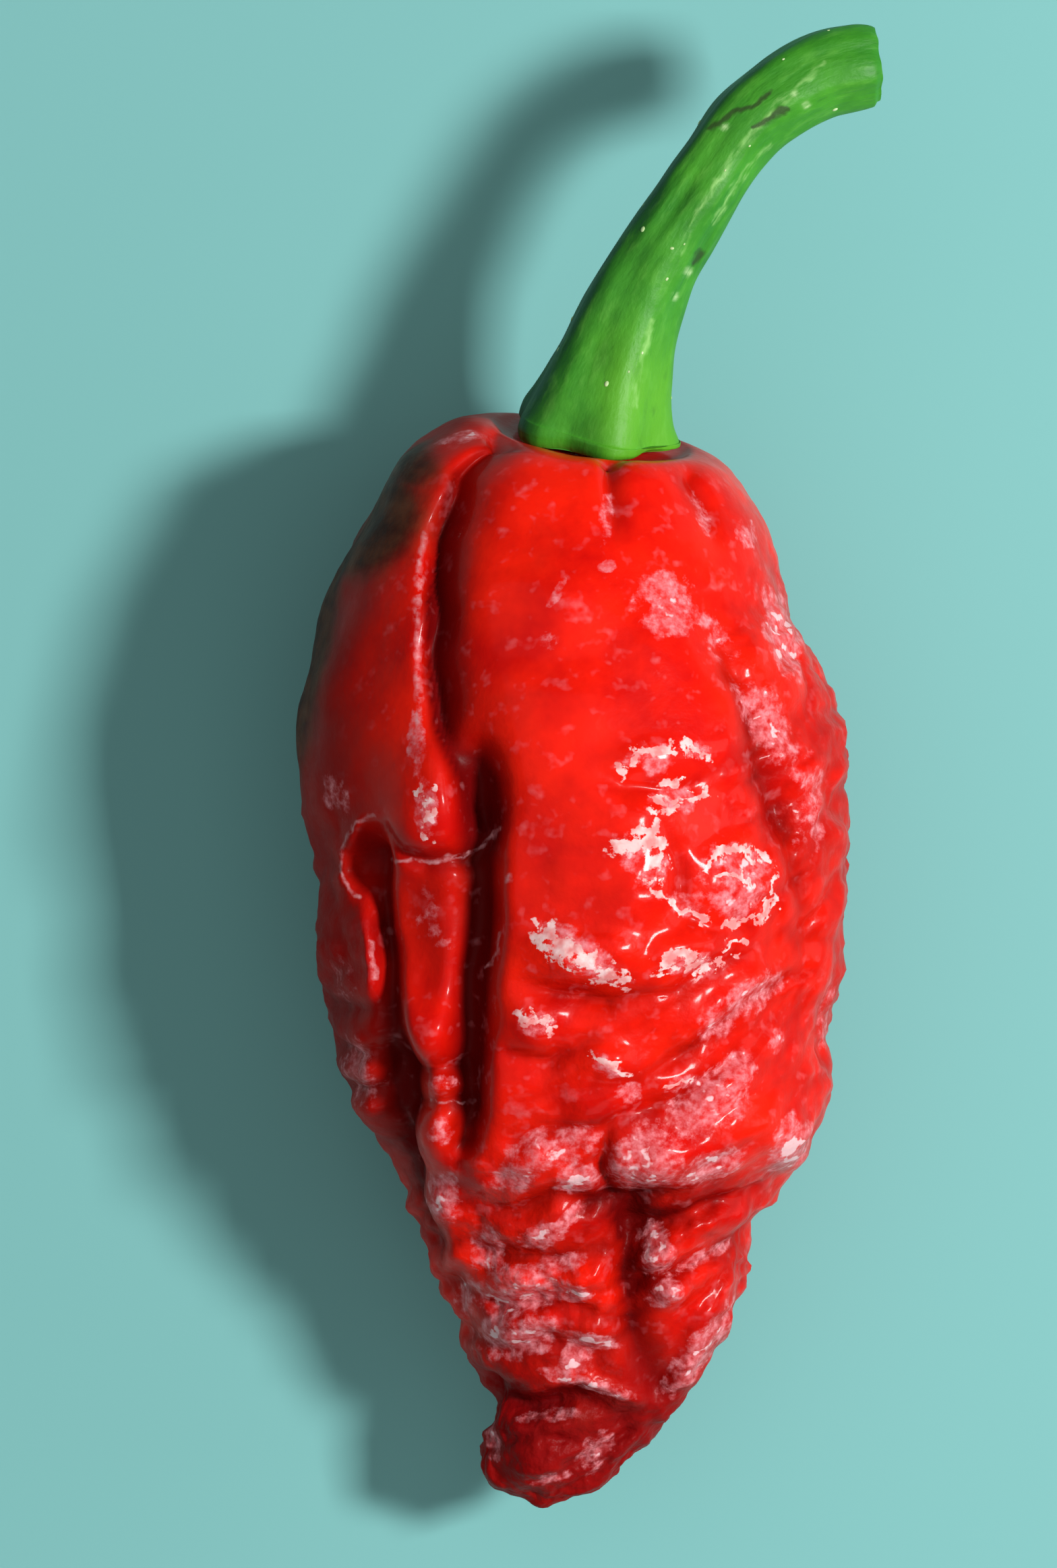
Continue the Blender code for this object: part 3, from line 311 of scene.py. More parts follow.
# Stem: centre line (x, y, z) and radius, from the seat on the pod to the cut end
STEM_STATIONS = (
    (0.93, 25.5, 13.4, 4.1),
    (0.96, 25.75, 13.48, 4.4),
    (1.04, 26.2, 13.6, 4.35),
    (1.3, 27.2, 13.9, 3.95),
    (1.85, 29.0, 14.3, 3.4),
    (2.55, 31.2, 14.7, 2.95),
    (3.7, 34.0, 15.2, 2.6),
    (5.5, 37.0, 15.9, 2.3),
    (7.7, 40.3, 16.4, 2.1),
    (9.4, 42.6, 16.6, 2.15),
    (11.3, 44.2, 16.6, 2.25),
    (13.3, 45.3, 16.4, 2.35),
    (15.0, 45.8, 16.2, 2.4),
    (16.0, 46.0, 16.1, 2.3),
    (16.5, 46.05, 16.05, 2.0),
)
STEM_RIBS = 5
STEM_RIB_HEIGHT = 0.05
CALYX_TEETH = 5
CALYX_TOOTH_DEPTH = 0.06
CALYX_HEIGHT = 3.0

# Crumples too fine for the solid: small facets, smaller ones on them, then pebbling. The shift keeps
# their pattern off the larger one's
SMALL_FACET_ACROSS = 2.4
SMALL_FACET_ALONG = 1.4
SMALL_FACET_HEIGHT = 0.31
SMALL_SHIFT = 9.0
TINY_FACET_ACROSS = 1.0
TINY_FACET_ALONG = 0.8
TINY_FACET_HEIGHT = 0.15
PEBBLE_SIZE = 0.4
PEBBLE_HEIGHT = 0.03
# The tip is more crumpled in these ways: how much more, and how far down the pod that sets in
TIP_CRUMPLED = 0.65
TIP_CRUMPLED_ALONG = (24.0, 28.5)
# Some places are more crumpled than others: how large they are, the mean, and how far from it they go
PATCHY_SIZE = 5.0
PATCHY_SHIFT = 9.0
PATCHY_MEAN = 0.75
PATCHY_SWING = 0.5
# Painted shade: the skin is coloured darker between the pads and the small pads, and darkest in creases
# this deep. Between the small pads it also has less painted sheen
SMALL_PAD_ACROSS = 1.9
SMALL_PAD_ALONG = 1.1
SMALL_PAD_EDGE = 0.5
SHADE_BETWEEN_PADS = 0.25
SHADE_BETWEEN_SMALL_PADS = 0.2
SHEEN_LOST_BETWEEN_PADS = 0.5
DARKEST_DEPTH = 1.7

# Painted sheen and painted highlights, as pale pink and white patches on the raised skin: x, y, half
# width, half length, turn in degrees, strength
SHEEN_PATCHES = {
    "upper glint": (3.8, 7.55, 1.4, 1.0, 15.0, 0.4),
    "upper glint's right end": (6.5, 7.9, 0.8, 0.6, -10.0, 0.4),
    "second glint": (5.2, 5.4, 1.4, 0.8, 0.0, 0.4),
    "third glint": (3.4, 2.3, 1.2, 1.8, 35.0, 0.45),
    "foot of the third glint": (5.7, -0.2, 1.7, 0.6, -20.0, 0.4),
    "ringed bulge": (8.5, 1.0, 2.2, 2.2, 0.0, 0.5),
    "long glint": (0.2, -2.9, 2.8, 1.0, -32.0, 0.5),
    "glint beside it": (5.9, -3.4, 1.5, 0.9, -8.0, 0.4),
    "glint by the valley": (-2.1, -6.8, 1.0, 0.8, 0.0, 0.5),
    "dash under the belly": (1.7, -9.0, 1.3, 0.6, -20.0, 0.4),
    "upper patch": (4.9, 16.0, 2.0, 1.7, -20.0, 0.55),
    "right shoulder patch": (11.4, 14.8, 1.0, 2.5, 12.0, 0.9),
    "small right shoulder patch": (9.2, 19.9, 0.6, 0.8, 20.0, 0.6),
    "right flank patch": (10.7, 9.4, 1.1, 2.6, 25.0, 0.6),
    "patch left of the ruffles": (-3.4, -15.2, 1.2, 1.0, 0.0, 0.7),
    "left ruffle": (-0.1, -15.4, 1.1, 0.8, 20.0, 1.0),
    "left ruffle's upper edge": (-1.2, -13.4, 2.4, 1.1, 14.0, 0.62),
    "middle ruffle": (3.7, -14.2, 1.8, 1.9, -25.0, 0.85),
    "right ruffle": (7.1, -14.7, 1.9, 0.8, 25.0, 0.9),
    "fold above the ruffles": (7.4, -10.9, 1.6, 2.8, -45.0, 0.62),
    "right edge flap": (11.6, -13.6, 1.1, 1.6, -15.0, 1.0),
    "pad by the left edge": (-7.4, -16.4, 1.0, 1.4, 15.0, 0.8),
    "left knuckle": (-5.0, -19.6, 0.9, 1.3, 0.0, 0.7),
    "middle knuckle": (-1.9, -18.6, 1.3, 0.6, 15.0, 0.9),
    "pad right of the slit": (4.4, -19.5, 0.9, 1.4, 0.0, 0.9),
    "pad below it": (4.8, -21.7, 1.0, 0.7, 35.0, 0.9),
    "diagonal fold": (7.3, -19.8, 1.8, 0.4, 25.0, 0.6),
    "second knuckle": (-3.2, -21.7, 2.8, 1.3, 10.0, 0.72),
    "third knuckle": (-3.6, -24.2, 2.5, 1.4, 10.0, 0.68),
    "pad over the lip": (0.0, -25.5, 0.8, 1.3, -20.0, 0.9),
    "lip": (0.6, -27.0, 2.8, 0.35, -15.0, 0.8),
    "fold round the tip": (-1.6, -28.9, 1.8, 0.35, 5.0, 0.6),
    "band down the right": (6.7, -25.0, 0.7, 3.4, -34.0, 0.72),
    "tongue": (-8.0, 5.0, 0.6, 1.4, 0.0, 0.8),
    "column": (-8.2, -1.0, 1.8, 3.4, 0.0, 0.15),
    "mark left of the short seam": (1.6, 20.9, 0.4, 1.5, -5.0, 0.5),
    "mark below it": (1.5, 17.9, 0.5, 0.35, 20.0, 0.8),
    "faint streak": (-1.1, 16.6, 0.3, 1.2, -30.0, 0.3),
    "faint spot": (-1.6, 14.0, 0.7, 0.7, 0.0, 0.28),
    "streak on the right shoulder": (6.9, 21.1, 0.4, 1.4, 18.0, 0.5),
    "string below the upper patch": (7.6, 14.3, 0.8, 1.7, 35.0, 0.4),
    "string along the right furrow": (9.0, 10.8, 0.5, 1.3, 20.0, 0.5),
    "right lobe": (12.9, 4.9, 1.3, 3.4, 0.0, 0.25),
    "rising ridge": (9.0, -5.7, 1.0, 3.0, -55.0, 0.6),
    "end of the rising ridge": (10.9, -7.8, 0.5, 0.8, -20.0, 0.4),
    "right edge": (14.1, -6.2, 0.5, 2.2, 0.0, 0.4),
    "dash under the ringed bulge": (5.4, -10.1, 0.8, 0.3, 20.0, 0.9),
    "blush beside the dash": (2.8, -10.5, 1.1, 0.6, 0.0, 0.35),
    "dash over the knuckle": (-0.3, -17.5, 1.0, 0.35, 35.0, 0.8),
    "end of the second knuckle": (-0.1, -21.8, 1.0, 0.4, 0.0, 0.9),
    "end of the third knuckle": (0.9, -24.5, 1.5, 0.4, -15.0, 0.9),
    "side of the tip": (1.1, -31.0, 1.2, 1.4, -30.0, 0.42),
    "ridge above the tongue": (-8.6, 8.8, 0.5, 2.4, 0.0, 0.5),
    "facet below the knob": (-7.4, -10.1, 0.9, 0.5, 0.0, 0.5),
    "second knob": (-7.5, -12.6, 0.8, 1.1, 0.0, 0.3),
    "left edge lumps": (-12.1, -9.3, 0.9, 2.2, 15.0, 0.45),
    "left of the second knuckle": (-6.6, -22.3, 0.8, 1.2, 0.0, 0.5),
    "below the first slit": (-1.0, -20.2, 1.6, 0.6, 20.0, 0.45),
    "streak over the left shoulder": (-6.4, 25.3, 1.5, 0.3, 15.0, 0.5),
    "streak below it": (-10.3, 21.6, 0.4, 1.5, -30.0, 0.35),
    "left side of the tip": (-4.8, -30.6, 0.5, 1.3, 10.0, 0.45),
    "end of the tip": (-1.6, -32.4, 1.6, 0.4, 10.0, 0.4),
    "left of the pit": (-13.2, 5.6, 0.7, 1.5, 20.0, 0.4),
    "lump below the pit": (-12.8, -4.6, 0.8, 1.6, 0.0, 0.3),
}

# Painted highlights: white strings of glints on the belly, and pale highlight lines along sharp edges:
# half width, then points (x, y)
GLINTS = {
    "upper": (0.50, ((2.4, 6.9), (3.4, 8.0), (4.8, 8.3), (5.2, 8.0))),
    "upper right": (0.45, ((5.9, 8.2), (7.2, 7.7))),
    "second, top dash": (0.26, ((4.6, 6.3), (5.8, 6.4))),
    "second, middle dash": (0.34, ((4.1, 5.3), (5.6, 5.5), (7.0, 5.8))),
    "second, low dash": (0.30, ((3.8, 4.7), (5.4, 4.8))),
    "third": (0.60, ((2.0, 2.7), (3.2, 3.1), (4.0, 3.8), (4.5, 2.4), (3.8, 1.1))),
    "foot of the third": (0.38, ((3.8, 1.1), (5.0, -0.3), (6.8, -1.0))),
    "ring, top": (0.32, ((6.7, 1.4), (7.6, 2.5), (9.2, 2.7), (10.3, 1.8))),
    "ring, right": (0.32, ((10.6, 1.0), (10.5, -0.3), (9.4, -1.2), (7.9, -1.4))),
    "inside the ring": (0.24, ((7.6, 1.2), (8.6, 1.5), (9.4, 0.9))),
    "dash below the ring": (0.24, ((7.9, -2.7), (9.0, -2.6))),
    "long": (0.85, ((-1.9, -1.8), (-0.5, -3.0), (1.2, -3.6), (2.3, -4.2))),
    "start of the long one": (0.30, ((-2.3, -0.9), (-1.9, -1.9))),
    "beside the long one": (0.65, ((4.4, -3.9), (5.4, -2.9), (7.2, -3.7))),
    "by the valley": (0.50, ((-2.8, -6.3), (-1.7, -6.9))),
    "dash under the belly": (0.36, ((0.7, -8.5), (1.8, -8.9), (2.7, -9.3))),
    "dash under the ringed bulge": (0.24, ((4.9, -10.4), (6.2, -9.9))),
    "tongue": (0.42, ((-8.3, 5.9), (-7.9, 4.6), (-8.2, 3.6))),
}
EDGE_HIGHLIGHTS = {
    "ridge of the left lobe": (0.24, ((-8.4, 20.0), (-8.7, 16.5), (-8.7, 12.5), (-8.6, 9.5))),
    "rim of the pit": (0.15, (
        (-11.0, 4.5), (-12.1, 4.1), (-12.9, 2.7), (-12.9, 1.4), (-12.4, 0.5), (-11.9, 0.1))),
    "lip under the tongue": (0.16, ((-10.0, 2.1), (-8.2, 2.0), (-6.7, 2.2), (-5.4, 2.6), (-4.2, 3.8))),
    "left edge of the left valley": (0.20, ((-11.3, -2.4), (-11.0, -4.3))),
    "right rim of the valley": (0.15, ((-4.2, -1.8), (-4.3, -2.9), (-4.9, -3.7))),
    "dot beside the valley": (0.22, ((-3.75, 1.2), (-3.7, 1.1))),
    "line below the facet": (0.12, ((-8.0, -11.1), (-6.2, -11.1))),
}

# Painted shade, as a deeper, duller red: x, y, half width, half length, turn in degrees, strength
SHADED_PLACES = {
    "furrow": (-7.2, 14.5, 1.1, 9.0, 0.0, 0.6),
    "foot of the furrow": (-5.2, 4.5, 1.4, 3.5, 0.0, 0.6),
    "column": (-8.3, -0.6, 2.1, 3.4, 0.0, 0.45),
    "pit": (-11.7, 2.3, 1.1, 1.8, 0.0, 1.0),
    "behind the stem": (0.0, 26.3, 7.5, 1.3, -6.0, 0.8),
    "top of the left shoulder": (-7.6, 25.6, 3.6, 1.8, 25.0, 0.75),
}
# The painted shade also sets in between these distances from the origin, towards the tip, the left and the
# right
SHADE_TIP = (22.0, 30.0)
SHADE_LEFT = (8.5, 13.5)
SHADE_LEFT_STRENGTH = 0.85
SHADE_RIGHT = (12.5, 15.5)
SHADE_RIGHT_STRENGTH = 0.4

# Unripe patch: x, y, half width, half length, turn in degrees, strength. The ovals on the shoulder fade
# out downwards, between two heights. The one on the side has the way round the pod for x
UNRIPE_TOP = {
    "shoulder": (-11.4, 20.9, 3.0, 4.0, -30.0, 1.5),
    "beside the furrow": (-9.0, 23.6, 1.9, 1.8, 20.0, 1.2),
}
UNRIPE_TOP_Z = (11.0, 16.0)
UNRIPE_SIDE = {"left side": (41.5, 14.5, 4.6, 8.5, -8.0, 1.2)}
# Its ragged edge: the sizes of the blotches and of the grain in it, how much they add, and its fade
UNRIPE_BLOTCH_SIZE = 4.0
UNRIPE_BLOTCH = 0.35
UNRIPE_BLOTCH_SHIFT = 5.0
UNRIPE_GRAIN_SIZE = 0.8
UNRIPE_GRAIN = 0.1
UNRIPE_FADE = (0.1, 1.05)

# Painted glints and highlight lines of the pod show only above this height
GLINT_LEAST_Z = 12.0
# How far the painted glints, the highlight lines and the lines of the stem stray from their points, and
# the size of the noise that moves them
STRAY_SIZE = 1.0
HIGHLIGHT_LINE_STRAY = 0.7
GLINT_STRAY = 2.2
STEM_STRAY_SIZE = 1.2
STEM_STRAY = 0.9

# Colours of the skin, as shares of red, green and blue light, and how strongly some of them cover
DARKER_RED = (0.62, 0.003, 0.001)
BRIGHT_RED = (0.92, 0.012, 0.002)
# Painted shade in the creases and between the pads
CREASE_SHADE_RED = (0.12, 0.001, 0.001)
# Painted shade at the tip, down the sides and in the shaded places
SHADE_RED = (0.15, 0.002, 0.003)
SHADE_COVER = 0.8
# Painted sheen, pink, and painted highlight, white, on the raised skin
SHEEN_PINK = (0.66, 0.09, 0.10)
SHEEN_PALE_PINK = (0.84, 0.30, 0.33)
FLECK_COVER = 0.20
PAINTED_HIGHLIGHT_WHITE = (0.90, 0.58, 0.60)
WHITE_COVER = 0.8
# Painted highlights: pale pink lines along sharp edges, and glints
HIGHLIGHT_LINE_PINK = (0.72, 0.32, 0.34)
HIGHLIGHT_LINE_COVER = 0.75
GLINT_PINK = (0.78, 0.26, 0.25)
GLINT_WHITE = (0.86, 0.62, 0.60)
GLINT_COVER = 0.9
OLIVE = (0.050, 0.010, 0.006)
PALE_OLIVE = (0.14, 0.040, 0.018)

# Gloss of the skin: its coat, how much of it dull skin loses, and how rough the skin under it is
COAT = 0.42
COAT_LOSS = 0.48
SMOOTHEST = (0.34, 0.34, 0.34)
ROUGHEST = (0.5, 0.5, 0.5)
SKIN_FINISH = {
    "Specular IOR Level": 0.05,
    "Coat Roughness": 0.12,
    "Coat IOR": 1.3,
    "Subsurface Weight": 0.12,
    "Subsurface Radius": (1.0, 0.10, 0.05),
    "Subsurface Scale": 1.2 * MM,
}

# Colours of the stem
STEM_DARKER_GREEN = (0.026, 0.20, 0.010)
STEM_GREEN = (0.056, 0.30, 0.015)
# The calyx's own yellower green, laid only on its right side as painted light
CALYX_AND_LIT_GREEN = (0.095, 0.36, 0.012)
SHADE_GREEN = (0.004, 0.060, 0.005)
PALE_STREAK = (0.20, 0.56, 0.08)
PALE_STREAK_COVER = 0.22
DARK_STREAK = (0.008, 0.09, 0.006)
DARK_STREAK_COVER = 0.28
PALE_MARK = (0.46, 0.68, 0.30)
RIDGE_GREEN = (0.36, 0.66, 0.20)
RIDGE_COVER = 0.5
SCAR_BROWN = (0.020, 0.035, 0.008)
SCAR_COVER = 0.8
RIND_GREEN = (0.42, 0.52, 0.22)
PITH_WHITE = (0.72, 0.80, 0.50)
SPECK_GREEN = (0.34, 0.52, 0.18)
SPECK_WHITE = (0.60, 0.74, 0.40)
STEM_FINISH = {"Roughness": 0.5, "Specular IOR Level": 0.3}
SPECK_FINISH = {"Roughness": 0.6}

# Stage, in metres: the floor, the light from all round, and lamps aimed at the pod: place, size, power
FLOOR_SIZE = 3.0
FLOOR_FINISH = {"Base Color": (0.20, 0.47, 0.45, 1.0), "Roughness": 0.9, "Specular IOR Level": 0.1}
SURROUND_COLOUR = (0.85, 0.95, 1.0, 1.0)
SURROUND_STRENGTH = 0.13
LAMP_TARGET = (0.0, 0.0, 0.014)
LAMPS = {
    "key": ((0.26, 0.03, 0.36), (0.065, 0.075), 2.15),
    "right sheen": ((0.42, 0.02, 0.14), (0.20, 0.20), 0.28),
    "lower sheen": ((0.05, -0.40, 0.22), (0.30, 0.10), 0.15),
    "top fill": ((-0.15, 0.0, 0.60), (0.90, 0.90), 1.1),
}

# Stem: faces round it and along it, its grain, and its furrows and lumps
STEM_FINE_SIDES = 120
STEM_FINE_POINTS = 240
GRAIN_RADIUS = 2.5
GRAIN_STRETCH = 3.5
FURROW_SIZE = 0.9
FURROW_HEIGHT = 0.10
LUMP_SIZE = 3.0
LUMP_HEIGHT = 0.12
# The marks and the lines of the stem show only above these heights
STEM_MARK_LEAST_Z = 14.0
STEM_LINE_LEAST_Z = 15.5
# Painted shade down the left side of the stem: the sideways part of a normal where it sets in, how dark it
# gets, and how ragged its edge is
SHADED_SIDE = (0.2, 0.85)
SHADED_SIDE_STRENGTH = 0.95
SHADED_SIDE_RAGGED = 0.12
SHADED_SIDE_RAGGED_SIZE = 1.5
# The calyx is yellower, and that is kept to its right side as painted light: how that sets in down the
# stem, by -y, and towards the right, by x
CALYX_DOWN = (-33.0, -27.0)
CALYX_LIT_SIDE = (0.0, 3.0)
# Pale specks: half length, the least and the most share of it that a speck has, its other two sizes as
# shares of its length, and the stretch of the stem that has them
SPECK_SEED = 7
SPECKS_PER_MM2 = 0.10
SPECK_SIZE = 0.14
SPECK_SHARES = (0.5, 1.3)
SPECK_WIDTH = 0.7
SPECK_THICKNESS = 0.35
SPECK_STRETCH = (0.12, 0.93)
# Points of the tube closer together than this become one
WELD_DISTANCE = 0.002
# Pale marks on the stem, the two by the bend being painted highlights: x, y, half width, half length, turn
# in degrees, strength
PALE_MARKS = {
    "highlight by the bend": (6.15, 34.45, 0.22, 0.20, 0.0, 1.0),
    "highlight below it": (5.4, 33.1, 0.18, 0.20, 0.0, 0.9),
    "dot before the curve": (8.15, 42.3, 0.20, 0.18, 0.0, 0.9),
    "dot near the cut": (12.6, 43.5, 0.22, 0.18, 20.0, 0.9),
    "small dot near the cut": (11.9, 44.1, 0.18, 0.16, 0.0, 0.8),
}
# Lines on the stem: half width, then points (x, y). Dark ones are scars, pale ones run along its ridges
STEM_SCARS = {
    "long scar": (0.24, ((7.4, 42.2), (8.4, 42.9), (9.4, 43.4), (10.6, 44.1))),
    "second scar": (0.20, ((9.7, 42.2), (10.6, 42.7), (11.5, 43.3))),
    "nick in the right side": (0.28, ((6.9, 35.6), (6.4, 34.9))),
}
STEM_RIDGES = {
    "middle ridge": (0.22, ((13.6, 45.8), (11.6, 44.0), (9.2, 41.4), (7.2, 38.6), (5.6, 35.4))),
    "right ridge": (0.20, ((10.6, 41.4), (8.6, 39.0), (7.4, 37.0))),
    "ridge above the calyx": (0.26, ((4.2, 31.6), (3.3, 28.8), (3.2, 27.2))),
}
# Rings of the cut end, from the edge inwards: width, how far it stands out, and how pale it is
CUT_RINGS = ((0.14, 0.0, 0.0), (0.10, -0.05, 1.0), (0.4, -0.04, 1.0), (0.4, 0.03, 0.8), (0.3, 0.03, 1.0))


def along(stations, position):
    """Smooth curve through the stations, read at positions from 0 to 1."""
    rows = np.array(stations)
    last = len(rows) - 1
    place = np.clip(position, 0.0, 1.0) * last
    index = np.minimum(place.astype(int), last - 1)
    f = (place - index)[..., None]
    before, start = rows[np.maximum(index - 1, 0)], rows[index]
    end, after = rows[index + 1], rows[np.minimum(index + 2, last)]
    return 0.5 * (
        2.0 * start
        + (end - before) * f
        + (2.0 * before - 5.0 * start + 4.0 * end - after) * f ** 2
        + (3.0 * start - before - 3.0 * end + after) * f ** 3
    )


def smooth_pod(position, angle):
    """The pod without creases: position runs from stem to tip, angle 0 is right and 90 degrees is up."""
    row = along(POD_STATIONS, position)
    left_x, left_y, right_x, right_y, low_z, high_z, top_slip, low_slip = np.moveaxis(row, -1, 0)
    across = np.cos(angle)
    up = np.sin(angle)
    x = (left_x + right_x) / 2 + (right_x - left_x) / 2 * across
    y = (left_y + right_y) / 2 + (right_y - left_y) / 2 * across
    y = y - top_slip * np.maximum(up, 0.0) + low_slip * np.minimum(up, 0.0)
    z = (low_z + high_z) / 2 + (high_z - low_z) / 2 * up
    return np.stack((x, y, z), axis=-1)


def outward(position, angle):
    """Unit normals of the smooth pod."""
    step = 0.004
    inside = np.clip(position, 2 * step, 1.0 - 2 * step)
    lengthwise = smooth_pod(inside + step, angle) - smooth_pod(inside - step, angle)
    round_it = smooth_pod(inside, angle + step) - smooth_pod(inside, angle - step)
    normal = np.cross(round_it, lengthwise)
    return normal / np.linalg.norm(normal, axis=-1, keepdims=True)


def push_direction(normals):
    """Folds on the side that faces up go nearly straight down, so they stay where the tables say."""
    steep = 1.0 - UPRIGHT_PUSH * blend(normals[:, 2], 0.1, 0.6)
    pushed = normals * np.stack((steep, steep, np.ones(steep.shape)), axis=-1)
    return pushed / np.linalg.norm(pushed, axis=-1, keepdims=True)


def blend(value, low, high):
    """0 below low, 1 above high, and an even slope between them."""
    t = np.clip((value - low) / (high - low), 0.0, 1.0)
    return t * t * (3.0 - 2.0 * t)


def facing_up(normals):
    """1 on the side that faces up, 0 on the underside."""
    return blend(normals[:, 2], *FACING_UP)


def crease(x, y, steepness, left_softness, points):
    """Depth of a crease that follows the points."""
    nearest = np.full(x.shape, np.inf)
    depth = np.zeros(x.shape)
    width = np.ones(x.shape)
    for (ax, ay, *a_sizes), (bx, by, *b_sizes) in zip(points, points[1:]):
        dx, dy = bx - ax, by - ay
        f = np.clip(((x - ax) * dx + (y - ay) * dy) / (dx * dx + dy * dy), 0.0, 1.0)
        off_x, off_y = x - ax - f * dx, y - ay - f * dy
        distance = np.hypot(off_x, off_y)
        closer = distance < nearest
        nearest = np.where(closer, distance, nearest)
        depth = np.where(closer, a_sizes[0] + f * (b_sizes[0] - a_sizes[0]), depth)
        on_left = blend((dx * off_y - dy * off_x) / math.hypot(dx, dy), -0.2, 0.2)
        softness = 1.0 + (left_softness - 1.0) * on_left
        width = np.where(closer, (a_sizes[1] + f * (b_sizes[1] - a_sizes[1])) * softness, width)
    return depth * np.exp(-(nearest / width) ** steepness)


def swelling(x, y, centre_x, centre_y, half_across, half_along, turn, height):
    """Height of an oval swelling, flat-topped and soft at its foot."""
    c, s = math.cos(math.radians(turn)), math.sin(math.radians(turn))
    u = ((x - centre_x) * c + (y - centre_y) * s) / half_across
    v = ((y - centre_y) * c - (x - centre_x) * s) / half_along
    return height * np.exp(-(u * u + v * v) ** 1.4)


def noise_at(points):
    """Smooth noise from -1 to 1 at each point."""
    return np.array([noise.noise(Vector(p)) for p in points])


def wrinkle_places(points, size_across, size_along):
    """Points measured in wrinkles: stretched across the pod, rising to the right, and bent a little."""
    x, y, z = points.T
    level = y - WRINKLE_RISE * np.maximum(x - 1.0, 0.0) ** 1.8
    places = np.stack((x / size_across, level / size_along, z / size_across), axis=-1)
    return places + WRINKLE_BEND * noise_at(places * 1.1 + 23.0)[:, None]


def pads(points, size_across, size_along, edge):
    """1 on the pads of wrinkled skin, falling to 0 in the creases between them."""
    nearest = [noise.voronoi(Vector(p))[0] for p in wrinkle_places(points, size_across, size_along)]
    first, second = np.array(nearest).T[:2]
    return blend(second - first, 0.0, edge)


def facets(points, size_across, size_along):
    """Flat facets that meet in sharp folds, like crumpled foil, from about -0.5 to 0.5."""
    places = wrinkle_places(points, size_across, size_along)
    return np.array([0.6 - noise.voronoi(Vector(p), distance_metric="MANHATTAN")[0][0] for p in places])


def crumpled(points, normals):
    """How crumpled the skin is: taut in the upper middle, rough on the right and towards the tip."""
    x, y, z = points.T
    lower = blend(-y, 8.0, 20.0) * (1.0 - 0.45 * blend(-y, 20.0, 29.0))
    belly = 0.5 * blend(-y, -10.0, 6.0) * blend(x, -5.0, 0.0)
    right = 0.65 * blend(x, 5.0, 11.0) * blend(-y, -24.0, -12.0)
    left = 0.4 * blend(-x, 9.5, 12.0) * blend(-y, -10.0, 0.0)
    under = 0.4 * blend(-normals[:, 2], -0.2, 0.5)
    taut = 1.0 - blend(normals[:, 2], 0.0, 0.3) * swelling(x, y, *TAUT_FLOOR)
    most = taut * np.maximum.reduce((lower, belly, right, left, under))
    return LEAST_CRUMPLED + (1.0 - LEAST_CRUMPLED) * most


def away_from_seat(points):
    """0 where the stem sits, growing to 1 on the shoulders, so the skin stays calm round the stem."""
    x, y, z = points.T
    return np.where(y > SHOULDER_Y, blend(np.hypot(x - SEAT[0], z - SEAT[2]), SEAT_CALM, SEAT_EDGE), 1.0)


def relief(points, normals, angle):
    """How far the wrinkled skin stands out of the smooth pod."""
    x, y, z = points.T
    round_under = MEAN_RADIUS * (np.where(angle > math.pi / 2, angle - 2.0 * math.pi, angle) + math.pi / 2)
    top = facing_up(normals)
    under = 1.0 - top
    wander = np.stack((noise_at(points / WANDER_SIZE), noise_at(points / WANDER_SIZE + 17.0)))
    top_x, top_y = x + WANDER_TOP * wander[0], y + WANDER_TOP * wander[1]
    under_x, under_y = round_under + WANDER_UNDER * wander[0], y + WANDER_UNDER * wander[1]
    top_form = sum(swelling(top_x, top_y, *values) for values in TOP_SWELLINGS.values())
    top_form = top_form - sum(crease(top_x, top_y, *values) for values in TOP_CREASES.values())
    under_form = sum(swelling(under_x, under_y, *values) for values in UNDER_SWELLINGS.values())
    under_form = under_form - sum(crease(under_x, under_y, *values) for values in UNDER_CREASES.values())

    wrinkles = WRINKLE_HEIGHT * (pads(points, PAD_ACROSS, PAD_ALONG, PAD_EDGE) - PAD_MEAN)
    wrinkles = wrinkles + FACET_HEIGHT * facets(points, FACET_ACROSS, FACET_ALONG)
    wrinkles = wrinkles * crumpled(points, normals)
    uneven = UNEVEN_HEIGHT * noise_at(points / UNEVEN_SIZE + 40.0)
    return (top * top_form + under * under_form + wrinkles + uneven) * away_from_seat(points)


def fine_relief(points, rough):
    """How far the finest crumples stand out, on skin that is this rough."""
    small = facets(points + SMALL_SHIFT, SMALL_FACET_ACROSS, SMALL_FACET_ALONG)
    tiny = facets(points - SMALL_SHIFT, TINY_FACET_ACROSS, TINY_FACET_ALONG)
    pebbles = noise_at(points / PEBBLE_SIZE)
    return rough * (SMALL_FACET_HEIGHT * small + TINY_FACET_HEIGHT * tiny + PEBBLE_HEIGHT * pebbles)


def oval(x, y, centre_x, centre_y, half_x, half_y, turn):
    """1 in the middle of a turned oval, falling softly to 0 outside it."""
    c, s = math.cos(math.radians(turn)), math.sin(math.radians(turn))
    u = ((x - centre_x) * c + (y - centre_y) * s) / half_x
    v = ((y - centre_y) * c - (x - centre_x) * s) / half_y
    return np.exp(-(u * u + v * v) ** 1.5)


def strongest(x, y, places):
    """The strongest of the named ovals at each point."""
    return np.maximum.reduce([strength * oval(x, y, *place) for *place, strength in places.values()])


